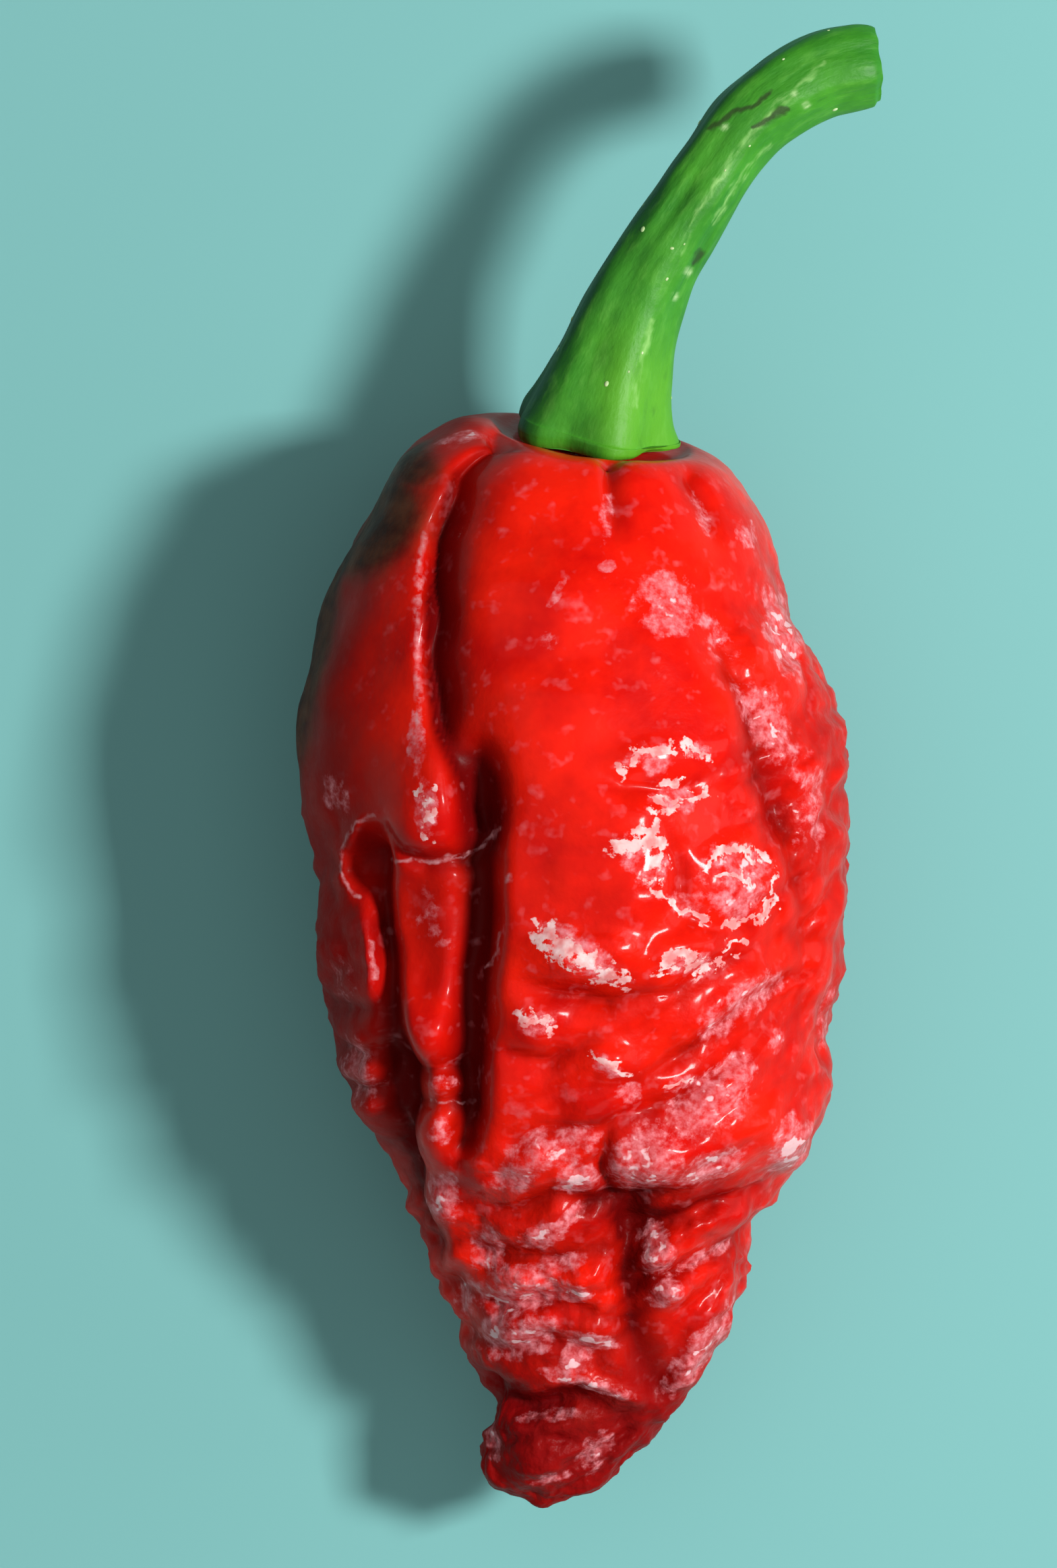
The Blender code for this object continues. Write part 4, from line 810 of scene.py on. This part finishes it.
def unripe_amount(points, angle):
    """The brown-olive patch on the left shoulder that runs down the left side."""
    x, y, z = points.T
    shoulder = strongest(x, y, UNRIPE_TOP) * blend(z, *UNRIPE_TOP_Z)
    way_round = MEAN_RADIUS * np.where(angle < 0.0, angle + 2.0 * math.pi, angle)
    patch = np.maximum(shoulder, strongest(way_round, y, UNRIPE_SIDE))
    blotch = UNRIPE_BLOTCH * noise_at(points / UNRIPE_BLOTCH_SIZE + UNRIPE_BLOTCH_SHIFT)
    grain = UNRIPE_GRAIN * noise_at(points / UNRIPE_GRAIN_SIZE)
    return blend(patch + blotch + grain, *UNRIPE_FADE)


def painted_shade_red(points):
    """Painted shade, as a deeper, duller red at the tip, down both sides and in the named places."""
    x, y, z = points.T
    tip = blend(-y, *SHADE_TIP)
    left = SHADE_LEFT_STRENGTH * blend(-x, *SHADE_LEFT)
    right = SHADE_RIGHT_STRENGTH * blend(x, *SHADE_RIGHT)
    return np.maximum.reduce((tip, left, right, strongest(x, y, SHADED_PLACES)))


def add_values(mesh, name, values):
    """A value on each point of a mesh, for its material or its tree to read."""
    layer = mesh.attributes.new(name, "FLOAT", "POINT")
    layer.data.foreach_set("value", np.asarray(values, dtype=np.float32))


def add_piece(name, mesh, material, body="root"):
    """A finished piece in the scene, riding on its body."""
    mesh.materials.clear()
    mesh.materials.append(material)
    mesh.shade_smooth()
    piece = bpy.data.objects.new(name, mesh)
    bpy.context.scene.collection.objects.link(piece)
    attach(piece, body)
    return piece


class Tree:
    """Short words that a material's tree and a Geometry Nodes tree share."""

    def put(self, value, socket):
        """A plain value on a socket, or a link to it."""
        if isinstance(value, bpy.types.NodeSocket):
            self.tree.links.new(value, socket)
        else:
            socket.default_value = value

    def math(self, operation, first, second=0.0, clamp=False):
        node = self.tree.nodes.new("ShaderNodeMath")
        node.operation = operation
        node.use_clamp = clamp
        self.put(first, node.inputs[0])
        self.put(second, node.inputs[1])
        return node.outputs[0]

    def times(self, first, second):
        return self.math("MULTIPLY", first, second)


class Nodes(Tree):
    """Short words for building a material's node tree."""

    def __init__(self, name):
        self.material = bpy.data.materials.new(name)
        self.material.use_nodes = True
        self.tree = self.material.node_tree
        self.shader = self.tree.nodes["Principled BSDF"]
        self.place = self.add("ShaderNodeTexCoord").outputs["Object"]

    def add(self, kind, **settings):
        node = self.tree.nodes.new(kind)
        for key, value in settings.items():
            setattr(node, key, value)
        return node

    def set_finish(self, values):
        """Plain values on the shader's own sockets."""
        for name, value in values.items():
            self.shader.inputs[name].default_value = value

    def value_of(self, name):
        return self.add("ShaderNodeAttribute", attribute_name=name).outputs["Fac"]

    def noise(self, size_mm, detail=2.0, rough=0.5, place=None):
        """Noise of a given size, from 0 to 1."""
        node = self.add("ShaderNodeTexNoise")
        node.inputs["Scale"].default_value = 1.0 / (size_mm * MM)
        node.inputs["Detail"].default_value = detail
        node.inputs["Roughness"].default_value = rough
        self.put(self.place if place is None else place, node.inputs["Vector"])
        return node.outputs["Fac"]

    def noise_vector(self, size_mm):
        """Three noises of a given size, each from 0 to 1."""
        node = self.add("ShaderNodeTexNoise")
        node.inputs["Scale"].default_value = 1.0 / (size_mm * MM)
        self.put(self.place, node.inputs["Vector"])
        return node.outputs["Color"]

    def swing(self, value, amount):
        """A noise made to go as far below 0 as above it."""
        return self.times(self.math("SUBTRACT", value, 0.5), amount)

    def above(self, least_z):
        """1 above a height in millimetres, 0 below it."""
        height = self.vector("DOT_PRODUCT", self.place, (0.0, 0.0, 1.0))
        return self.math("GREATER_THAN", height, least_z * MM)

    def seen_from_above(self, size_mm, stray):
        """Place in millimetres without its height, moved about by noise of a given size."""
        wander = self.vector("SUBTRACT", self.noise_vector(size_mm), (0.5, 0.5, 0.5))
        flat = self.vector("MULTIPLY", self.place, (1.0 / MM, 1.0 / MM, 0.0))
        return self.vector("MULTIPLY_ADD", wander, (stray, stray, 0.0), flat)

    def ramp(self, fac, *ends):
        """Colours or greys by value: both ends are (position, colour)."""
        node = self.add("ShaderNodeValToRGB")
        for index, (position, colour) in enumerate(ends):
            node.color_ramp.elements[index].position = position
            node.color_ramp.elements[index].color = (*colour, 1.0)
        self.put(fac, node.inputs["Fac"])
        return node.outputs["Color"]

    def between(self, value, low, high):
        """0 below low and 1 above high."""
        return self.ramp(value, (low, (0.0,) * 3), (high, (1.0,) * 3))

    def mix(self, share, below, colour):
        """A plain colour or a linked one laid over what is below, by its share."""
        node = self.add("ShaderNodeMix", data_type="RGBA")
        if isinstance(colour, tuple):
            colour = (*colour, 1.0)
        for value, index in ((share, 0), (below, 6), (colour, 7)):
            self.put(value, node.inputs[index])
        return node.outputs[2]

    def vector(self, operation, *values):
        node = self.add("ShaderNodeVectorMath", operation=operation)
        for socket, value in zip([s for s in node.inputs if s.enabled], values):
            self.put(value, socket)
        return node.outputs["Value" if operation in ("DOT_PRODUCT", "LENGTH") else "Vector"]

    def strokes(self, place, lines):
        """1 in the middle of each line, 0 at its half width and beyond."""
        most = 0.0
        for half_width, points in lines.values():
            for (ax, ay), (bx, by) in zip(points, points[1:]):
                length = math.dist((ax, ay), (bx, by))
                offset = self.vector("SUBTRACT", place, (ax, ay, 0.0))
                unit = ((bx - ax) / length ** 2, (by - ay) / length ** 2, 0.0)
                part_way = self.math("ADD", self.vector("DOT_PRODUCT", offset, unit), 0.0, clamp=True)
                back = self.vector("SCALE", (ax - bx, ay - by, 0.0), part_way)
                distance = self.vector("LENGTH", self.vector("ADD", offset, back))
                near = self.math("DIVIDE", distance, half_width)
                most = self.math("MAXIMUM", most, self.math("SUBTRACT", 1.0, near))
        return most

    def bump(self, height, distance_mm, strength, below=None):
        node = self.add("ShaderNodeBump")
        node.inputs["Distance"].default_value = distance_mm * MM
        self.put(strength, node.inputs["Strength"])
        self.put(height, node.inputs["Height"])
        if below is not None:
            self.put(below, node.inputs["Normal"])
        return node.outputs["Normal"]


def painted_sheen_patches(n, red, speckle, blotch, clumps):
    """Faint pink flecks, and ragged patches of painted sheen, pink, that turn to painted highlight, white,
    where the painted sheen is strongest.
    """
    painted_sheen = n.value_of("painted_sheen")
    # The flecks fade where the painted shade lies
    bright = n.math("SUBTRACT", 1.0, n.value_of("deep"))
    flecks = n.times(n.times(n.between(blotch, 0.58, 0.72), bright), FLECK_COVER)
    ragged = n.swing(n.noise(1.4, 5.0, 0.7), 1.5)
    island = n.times(n.math("ADD", painted_sheen, ragged), n.between(painted_sheen, 0.02, 0.15))
    grains = n.math("ADD", n.times(n.between(speckle, 0.32, 0.66), 0.75), 0.10)
    pink = n.times(n.between(island, 0.10, 0.34), grains)
    pinks = n.ramp(n.noise(0.7, 3.0, 0.6), (0.35, SHEEN_PINK), (0.65, SHEEN_PALE_PINK))
    red = n.mix(n.math("ADD", pink, flecks, clamp=True), red, pinks)
    whitest = n.math("ADD", painted_sheen, n.swing(clumps, 2.2))
    white = n.times(n.between(whitest, 0.66, 0.80), n.between(island, 0.22, 0.38))
    return n.mix(n.times(white, WHITE_COVER), red, PAINTED_HIGHLIGHT_WHITE)


def edge_highlights_and_glints(n, red, clumps):
    """Painted highlights: thin pale lines along sharp edges, and broken white strings of glints on the
    belly.
    """
    on_top = n.above(GLINT_LEAST_Z)
    near_line = n.strokes(n.seen_from_above(STRAY_SIZE, HIGHLIGHT_LINE_STRAY), EDGE_HIGHLIGHTS)
    broken = n.between(n.noise(0.7, 3.0, 0.65), 0.38, 0.66)
    lines = n.times(n.between(near_line, 0.0, 0.8), broken)
    red = n.mix(n.times(n.times(lines, HIGHLIGHT_LINE_COVER), on_top), red, HIGHLIGHT_LINE_PINK)
    near_string = n.strokes(n.seen_from_above(STRAY_SIZE, GLINT_STRAY), GLINTS)
    crumbs = n.swing(n.noise(0.6, 3.0, 0.65), 4.5)
    crumbled = n.between(n.math("ADD", near_string, crumbs), 0.3, 0.6)
    strings = n.times(crumbled, n.between(near_string, 0.0, 0.12))
    shine = n.ramp(clumps, (0.40, GLINT_PINK), (0.62, GLINT_WHITE))
    return n.mix(n.times(n.times(strings, GLINT_COVER), on_top), red, shine)


def pepper_skin():
    """Glossy red with painted sheen and painted highlights, painted shade in the folds, at the tip and
    down the sides, and an unripe shoulder.
    """
    n = Nodes("pepper skin")
    rough = n.value_of("rough")
    unripe = n.value_of("unripe")
    hollow = n.value_of("hollow")
    deep = n.value_of("deep")
    speckle = n.noise(0.45, 2.0, 0.6)
    blotch = n.noise(1.1, 2.0, 0.6)
    clumps = n.noise(0.8, 2.0, 0.5)
    red = n.ramp(n.noise(5.0, 4.0, 0.6), (0.35, DARKER_RED), (0.65, BRIGHT_RED))
    # Painted shade in the creases and between the pads
    red = n.mix(hollow, red, CREASE_SHADE_RED)
    # Painted shade at the tip, down the sides and in the shaded places
    red = n.mix(n.times(deep, SHADE_COVER), red, SHADE_RED)
    # Painted sheen and painted highlights on the raised skin
    red = painted_sheen_patches(n, red, speckle, blotch, clumps)
    # Painted highlights along sharp edges, and painted glints
    red = edge_highlights_and_glints(n, red, clumps)
    olive = n.ramp(n.noise(1.5, 4.0, 0.6), (0.35, OLIVE), (0.7, PALE_OLIVE))
    n.put(n.mix(unripe, red, olive), n.shader.inputs["Base Color"])
    coarse = n.bump(blotch, 0.35, n.times(rough, 0.5))
    grainy = n.math("ADD", n.times(rough, 0.4), 0.2)
    n.put(n.bump(speckle, 0.12, grainy, coarse), n.shader.inputs["Normal"])
    uneven = n.ramp(n.noise(2.0, 3.0, 0.6), (0.3, SMOOTHEST), (0.75, ROUGHEST))
    n.put(uneven, n.shader.inputs["Roughness"])
    dull = n.math("MAXIMUM", n.math("MAXIMUM", hollow, unripe), deep)
    gloss = n.math("SUBTRACT", COAT, n.times(dull, COAT_LOSS), clamp=True)
    n.put(gloss, n.shader.inputs["Coat Weight"])
    n.set_finish(SKIN_FINISH)
    return n.material


def stem_lines(n, green, streaks):
    """Pale ridges and dark scars on the side of the stem that faces up."""
    place = n.seen_from_above(STEM_STRAY_SIZE, STEM_STRAY)
    on_top = n.above(STEM_LINE_LEAST_Z)
    ridges = n.times(n.between(n.strokes(place, STEM_RIDGES), 0.0, 0.9), on_top)
    broken = n.times(ridges, n.between(streaks, 0.4, 0.6))
    green = n.mix(n.times(broken, RIDGE_COVER), green, RIDGE_GREEN)
    scars = n.times(n.between(n.strokes(place, STEM_SCARS), 0.1, 0.7), on_top)
    return n.mix(n.times(scars, SCAR_COVER), green, SCAR_BROWN)


def stem_skin():
    """Green with soft streaks along the stem, painted shade down its left side, yellower at the calyx with
    painted light on the calyx's right side, pale where it was cut.
    """
    n = Nodes("stem green")
    grain = n.add("ShaderNodeAttribute", attribute_name="grain").outputs["Vector"]
    streaks = n.noise(0.5, 3.0, 0.6, place=grain)
    green = n.ramp(n.noise(3.0, 3.0, 0.6), (0.3, STEM_DARKER_GREEN), (0.7, STEM_GREEN))
    # Yellower calyx: its own colour, and painted light because it is kept to the right side
    green = n.mix(n.value_of("calyx"), green, CALYX_AND_LIT_GREEN)
    # Painted shade down the left side of the stem
    green = n.mix(n.value_of("painted_shade_side"), green, SHADE_GREEN)
    green = n.mix(n.times(n.between(streaks, 0.52, 0.75), PALE_STREAK_COVER), green, PALE_STREAK)
    dark_streaks = n.between(n.math("SUBTRACT", 1.0, streaks), 0.58, 0.72)
    green = n.mix(n.times(dark_streaks, DARK_STREAK_COVER), green, DARK_STREAK)
    # Pale marks; the two dots by the bend are painted highlights
    marks = n.times(n.value_of("pale"), n.between(streaks, 0.35, 0.55))
    green = n.mix(marks, green, PALE_MARK)
    green = stem_lines(n, green, streaks)
    pith = n.ramp(n.noise(0.5, 3.0, 0.6), (0.3, RIND_GREEN), (0.7, PITH_WHITE))
    n.put(n.mix(n.value_of("cut"), green, pith), n.shader.inputs["Base Color"])
    lengthwise = n.bump(streaks, 0.15, 0.5)
    n.put(n.bump(n.noise(0.5, 3.0, 0.6), 0.1, 0.3, lengthwise), n.shader.inputs["Normal"])
    n.set_finish(STEM_FINISH)
    return n.material


def speck_skin():
    """Pale corky green."""
    n = Nodes("pale specks")
    colour = n.ramp(n.noise(0.4, 2.0), (0.3, SPECK_GREEN), (0.7, SPECK_WHITE))
    n.put(colour, n.shader.inputs["Base Color"])
    n.set_finish(SPECK_FINISH)
    return n.material


def mark_pod(mesh, smooth, normals, angle, rough):
    """Values on the pod's points that its colours read."""
    top = facing_up(normals)
    depth = top * sum(crease(smooth[:, 0], smooth[:, 1], *values) for values in TOP_CREASES.values())
    between_pads = 1.0 - pads(smooth, PAD_ACROSS, PAD_ALONG, PAD_EDGE)
    between_small = 1.0 - pads(smooth + SMALL_SHIFT, SMALL_PAD_ACROSS, SMALL_PAD_ALONG, SMALL_PAD_EDGE)
    between = SHADE_BETWEEN_PADS * between_pads + SHADE_BETWEEN_SMALL_PADS * between_small
    # Painted shade: darker in the creases and between the pads
    hollow = depth / DARKEST_DEPTH + crumpled(smooth, normals) * between
    # Painted sheen and painted highlights on the raised skin, weaker between the small pads
    painted_sheen = top * strongest(smooth[:, 0], smooth[:, 1], SHEEN_PATCHES)
    add_values(mesh, "hollow", np.clip(hollow, 0.0, 1.0))
    add_values(mesh, "painted_sheen", painted_sheen * (1.0 - SHEEN_LOST_BETWEEN_PADS * between_small))
    # Painted shade at the tip, down the sides and in the shaded places
    add_values(mesh, "deep", painted_shade_red(smooth))
    add_values(mesh, "unripe", unripe_amount(smooth, angle))
    add_values(mesh, "rough", rough)


def make_pod():
    """A sphere whose poles become the seat of the stem and the tip, shaped by the pod's formula."""
    bm = bmesh.new()
    bmesh.ops.create_uvsphere(bm, u_segments=POD_AROUND, v_segments=POD_ALONG, radius=1.0)
    sphere = np.array([v.co[:] for v in bm.verts])
    position = np.arccos(np.clip(sphere[:, 2], -1.0, 1.0)) / math.pi
    angle = np.arctan2(sphere[:, 1], sphere[:, 0])
    smooth = smooth_pod(position, angle)
    normals = outward(position, angle)
    patchy = PATCHY_MEAN + PATCHY_SWING * noise_at(smooth / PATCHY_SIZE + PATCHY_SHIFT)
    tip = TIP_CRUMPLED * blend(-smooth[:, 1], *TIP_CRUMPLED_ALONG)
    rough = (crumpled(smooth, normals) + tip) * patchy
    height = relief(smooth, normals, angle)
    fine = away_from_seat(smooth) * fine_relief(smooth, rough)
    points = smooth + push_direction(normals) * (height + fine)[:, None]
    points[:, 2] = np.maximum(points[:, 2], 0.0)
    for vert, point in zip(bm.verts, points):
        vert.co = Vector(point) * MM
    bmesh.ops.recalc_face_normals(bm, faces=bm.faces)
    mesh = bpy.data.meshes.new("pod_skin")
    bm.to_mesh(mesh)
    bm.free()
    mark_pod(mesh, smooth, normals, angle, rough)
    piece = add_piece("pod_skin", mesh, pepper_skin())
    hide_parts("pod")


class GeometryTree(Tree):
    """Short words for building a Geometry Nodes tree with named inputs."""

    def __init__(self, name, **inputs):
        self.tree = bpy.data.node_groups.new(name, "GeometryNodeTree")
        self.tree.interface.new_socket("Geometry", in_out="OUTPUT", socket_type="NodeSocketGeometry")
        self.tree.interface.new_socket("Geometry", in_out="INPUT", socket_type="NodeSocketGeometry")
        self.values = inputs
        for label, value in inputs.items():
            kind = "NodeSocketInt" if isinstance(value, int) else "NodeSocketFloat"
            self.tree.interface.new_socket(label, in_out="INPUT", socket_type=kind)
        self.start = self.tree.nodes.new("NodeGroupInput")
        self.end = self.tree.nodes.new("NodeGroupOutput")

    def add(self, kind, settings=None, **inputs):
        """A node; inputs are given by their name on the node, with _ for a blank."""
        node = self.tree.nodes.new(kind)
        for key, value in (settings or {}).items():
            setattr(node, key, value)
        for label, value in inputs.items():
            socket = next(s for s in node.inputs if s.enabled and s.name == label.replace("_", " "))
            self.put(value, socket)
        return node

    def finish(self, geometry, material):
        realized = self.add("GeometryNodeRealizeInstances", Geometry=geometry)
        painted = self.add("GeometryNodeSetMaterial", Geometry=realized.outputs[0], Material=material)
        self.tree.links.new(painted.outputs[0], self.end.inputs[0])

    def mesh_from(self, mesh, name):
        """The tree run on a mesh, as a plain mesh."""
        source = bpy.data.objects.new(name, mesh)
        bpy.context.scene.collection.objects.link(source)
        modifier = source.modifiers.new(name, "NODES")
        modifier.node_group = self.tree
        for item in self.tree.interface.items_tree:
            if item.in_out == "INPUT" and item.name in self.values:
                modifier[item.identifier] = self.values[item.name]
        graph = bpy.context.evaluated_depsgraph_get()
        result = bpy.data.meshes.new_from_object(source.evaluated_get(graph))
        source.modifiers.remove(modifier)
        bpy.data.objects.remove(source)
        result.name = name
        return result


def ribbed_sweep(material):
    """Tree: a line with a radius at each point becomes a tube with soft ribs and closed ends."""
    sizes = {"Sides": STEM_FINE_SIDES, "Ribs": STEM_RIBS, "Rib height": STEM_RIB_HEIGHT}
    made = GeometryTree("ribbed sweep", **sizes)
    on_points = {"data_type": "FLOAT", "domain": "POINT"}
    line = made.add("GeometryNodeMeshToCurve", Mesh=made.start.outputs["Geometry"])
    radius = made.add("GeometryNodeInputNamedAttribute", {"data_type": "FLOAT"}, Name="thickness")
    part_way = made.add("GeometryNodeSplineParameter").outputs["Factor"]
    line = made.add("GeometryNodeStoreNamedAttribute", on_points,
                    Geometry=line.outputs[0], Name="along", Value=part_way)
    ring = made.add("GeometryNodeCurvePrimitiveCircle", Resolution=made.start.outputs["Sides"], Radius=MM)
    ring = made.add("GeometryNodeStoreNamedAttribute", on_points,
                    Geometry=ring.outputs[0], Name="around", Value=part_way)
    turns = made.times(made.times(part_way, 2.0 * math.pi), made.start.outputs["Ribs"])
    swell = made.times(made.math("COSINE", turns), made.start.outputs["Rib height"])
    place = made.add("GeometryNodeInputPosition").outputs[0]
    offset = made.tree.nodes.new("ShaderNodeVectorMath")
    offset.operation = "SCALE"
    made.put(place, offset.inputs[0])
    made.put(swell, offset.inputs["Scale"])
    ring = made.add("GeometryNodeSetPosition", Geometry=ring.outputs[0], Offset=offset.outputs[0])
    tube = made.add("GeometryNodeCurveToMesh", Curve=line.outputs[0], Profile_Curve=ring.outputs[0],
                    Scale=radius.outputs["Attribute"], Fill_Caps=True)
    tube = made.add("GeometryNodeMergeByDistance", Geometry=tube.outputs[0], Distance=WELD_DISTANCE * MM)
    made.finish(tube.outputs[0], material)
    return made


def scattered_specks(material):
    """Tree: small flat grains scattered over the skin of the stem."""
    sizes = {"Seed": SPECK_SEED, "Specks per mm2": SPECKS_PER_MM2, "Speck size": SPECK_SIZE}
    made = GeometryTree("scattered specks", **sizes)
    seed = made.start.outputs["Seed"]
    density = made.times(made.start.outputs["Specks per mm2"], 1.0 / MM ** 2)
    along_it = made.add("GeometryNodeInputNamedAttribute", {"data_type": "FLOAT"}, Name="along")
    past_start = made.math("GREATER_THAN", along_it.outputs["Attribute"], SPECK_STRETCH[0])
    before_end = made.math("LESS_THAN", along_it.outputs["Attribute"], SPECK_STRETCH[1])
    points = made.add("GeometryNodeDistributePointsOnFaces", Mesh=made.start.outputs["Geometry"],
                      Selection=made.times(past_start, before_end), Density=density, Seed=seed)
    grain = made.add("GeometryNodeMeshIcoSphere", Radius=MM, Subdivisions=2)
    share = made.add("FunctionNodeRandomValue", {"data_type": "FLOAT"},
                     Min=SPECK_SHARES[0], Max=SPECK_SHARES[1], Seed=seed)
    size = made.times(share.outputs[1], made.start.outputs["Speck size"])
    shape = made.add("ShaderNodeCombineXYZ", X=size, Y=made.times(size, SPECK_WIDTH),
                     Z=made.times(size, SPECK_THICKNESS))
    placed = made.add("GeometryNodeInstanceOnPoints", Points=points.outputs["Points"],
                      Instance=grain.outputs["Mesh"], Rotation=points.outputs["Rotation"],
                      Scale=shape.outputs[0])
    made.finish(placed.outputs[0], material)
    return made


def stem_line():
    """The middle line of the stem, with its radius at each point."""
    stations = along(STEM_STATIONS, np.linspace(0.0, 1.0, STEM_FINE_POINTS))
    points = [tuple(row[:3] * MM) for row in stations]
    line = bpy.data.meshes.new("stem line")
    line.from_pydata(points, [(i, i + 1) for i in range(len(points) - 1)], [])
    add_values(line, "thickness", stations[:, 3])
    return line


def inset_cut_end(bm):
    """Rings on the cut end: a thin rind, then the pith, a little sunk."""
    end = Vector(STEM_STATIONS[-1][:3]) * MM
    caps = [face for face in bm.faces if len(face.verts) > 4]
    cap = min(caps, key=lambda face: (face.calc_center_median() - end).length)
    cut = bm.verts.layers.float.new("cut")
    for thickness, depth, pale in CUT_RINGS:
        bmesh.ops.inset_region(bm, faces=[cap], thickness=thickness * MM, depth=depth * MM)
        for vert in cap.verts:
            vert[cut] = pale


def shape_stem(bm):
    """Teeth round the calyx, and furrows and lumps all over. Gives each point's place in the grain."""
    along_layer = bm.verts.layers.float["along"]
    around_layer = bm.verts.layers.float["around"]
    start = Vector(STEM_STATIONS[0][:3]) * MM
    axis = (Vector(STEM_STATIONS[2][:3]) * MM - start).normalized()
    length = sum(math.dist(a[:3], b[:3]) for a, b in zip(STEM_STATIONS, STEM_STATIONS[1:]))
    grain = []
    for vert in bm.verts:
        offset = vert.co - start
        height = offset.dot(axis)
        fade = max(0.0, 1.0 - height / (CALYX_HEIGHT * MM)) ** 2
        side = offset - axis * height
        turn = math.atan2(side.z, side.x)
        vert.co += side * (CALYX_TOOTH_DEPTH * fade * math.cos(CALYX_TEETH * turn))
        angle = 2.0 * math.pi * vert[around_layer]
        lengthwise = vert[along_layer] * length / GRAIN_STRETCH
        place = Vector((GRAIN_RADIUS * math.cos(angle), GRAIN_RADIUS * math.sin(angle), lengthwise))
        grain.append(place * MM)
        furrow = FURROW_HEIGHT * noise.noise(place / FURROW_SIZE)
        lump = LUMP_HEIGHT * noise.noise(vert.co / (LUMP_SIZE * MM))
        vert.co += vert.normal * (furrow + lump) * MM
    return grain


def read_points(mesh, name):
    """A mesh's places or normals, one row for each point."""
    values = np.empty(len(mesh.vertices) * 3)
    mesh.vertices.foreach_get(name, values)
    return values.reshape(-1, 3)


def mark_stem(mesh, grain):
    """Values on the stem's points that its colours read."""
    points = read_points(mesh, "co") / MM
    x, y, z = points.T
    layer = mesh.attributes.new("grain", "FLOAT_VECTOR", "POINT")
    layer.data.foreach_set("vector", np.array(grain, dtype=np.float32).ravel())
    facing_left = -read_points(mesh, "normal")[:, 0]
    ragged = SHADED_SIDE_RAGGED * noise_at(points / SHADED_SIDE_RAGGED_SIZE)
    # Painted shade down the side of the stem that faces left
    add_values(mesh, "painted_shade_side", SHADED_SIDE_STRENGTH * blend(facing_left + ragged, *SHADED_SIDE))
    # Yellower calyx, kept to its right side as painted light
    add_values(mesh, "calyx", blend(-y, *CALYX_DOWN) * blend(x, *CALYX_LIT_SIDE))
    add_values(mesh, "pale", strongest(x, y, PALE_MARKS) * (z > STEM_MARK_LEAST_Z))


def make_stem():
    """The stem and the calyx it widens into, with its furrows, its cut end and its specks."""
    skin = stem_skin()
    mesh = ribbed_sweep(skin).mesh_from(stem_line(), "stem_skin")
    bm = bmesh.new()
    bm.from_mesh(mesh)
    bmesh.ops.recalc_face_normals(bm, faces=bm.faces)
    inset_cut_end(bm)
    bm.normal_update()
    grain = shape_stem(bm)
    bm.to_mesh(mesh)
    bm.free()
    mark_stem(mesh, grain)
    piece = add_piece("stem_skin", mesh, skin)
    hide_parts("stem")
    speck = speck_skin()
    grains = add_piece("stem_specks", scattered_specks(speck).mesh_from(mesh.copy(), "stem_specks"), speck)


def make_floor():
    """Plain floor under the pepper, stage only."""
    bpy.ops.mesh.primitive_plane_add(size=FLOOR_SIZE)
    floor = bpy.context.object
    floor.name = "floor"
    n = Nodes("pale floor")
    n.set_finish(FLOOR_FINISH)
    floor.data.materials.append(n.material)


def make_lights():
    """Soft studio light: a little from all round, and the lamps."""
    world = bpy.data.worlds.new("studio")
    world.use_nodes = True
    background = world.node_tree.nodes["Background"]
    background.inputs["Color"].default_value = SURROUND_COLOUR
    background.inputs["Strength"].default_value = SURROUND_STRENGTH
    bpy.context.scene.world = world
    for name, (place, size, power) in LAMPS.items():
        light = bpy.data.lights.new(name, "AREA")
        light.shape = "RECTANGLE"
        light.size, light.size_y = size
        light.energy = power
        lamp = bpy.data.objects.new(name, light)
        lamp.location = place
        lamp.rotation_euler = (Vector(LAMP_TARGET) - Vector(place)).to_track_quat("-Z", "Y").to_euler()
        bpy.context.scene.collection.objects.link(lamp)


def make_camera():
    """A long lens straight above, framed as the photograph is."""
    camera = bpy.data.cameras.new("camera")
    camera.sensor_fit = "VERTICAL"
    camera.sensor_height = SENSOR
    camera.lens = LENS
    view = bpy.data.objects.new("camera", camera)
    middle_x = (PHOTO_WIDTH / 2 - PHOTO_ORIGIN[0]) / PHOTO_SCALE
    middle_y = (PHOTO_ORIGIN[1] - PHOTO_HEIGHT / 2) / PHOTO_SCALE
    distance = PHOTO_HEIGHT / PHOTO_SCALE * LENS / SENSOR
    view.location = Vector((middle_x, middle_y, OUTLINE_HEIGHT + distance)) * MM
    bpy.context.scene.collection.objects.link(view)
    bpy.context.scene.camera = view


make_camera()
make_pod()
make_stem()
make_floor()
make_lights()
bpy.context.scene.view_settings.view_transform = "Standard"
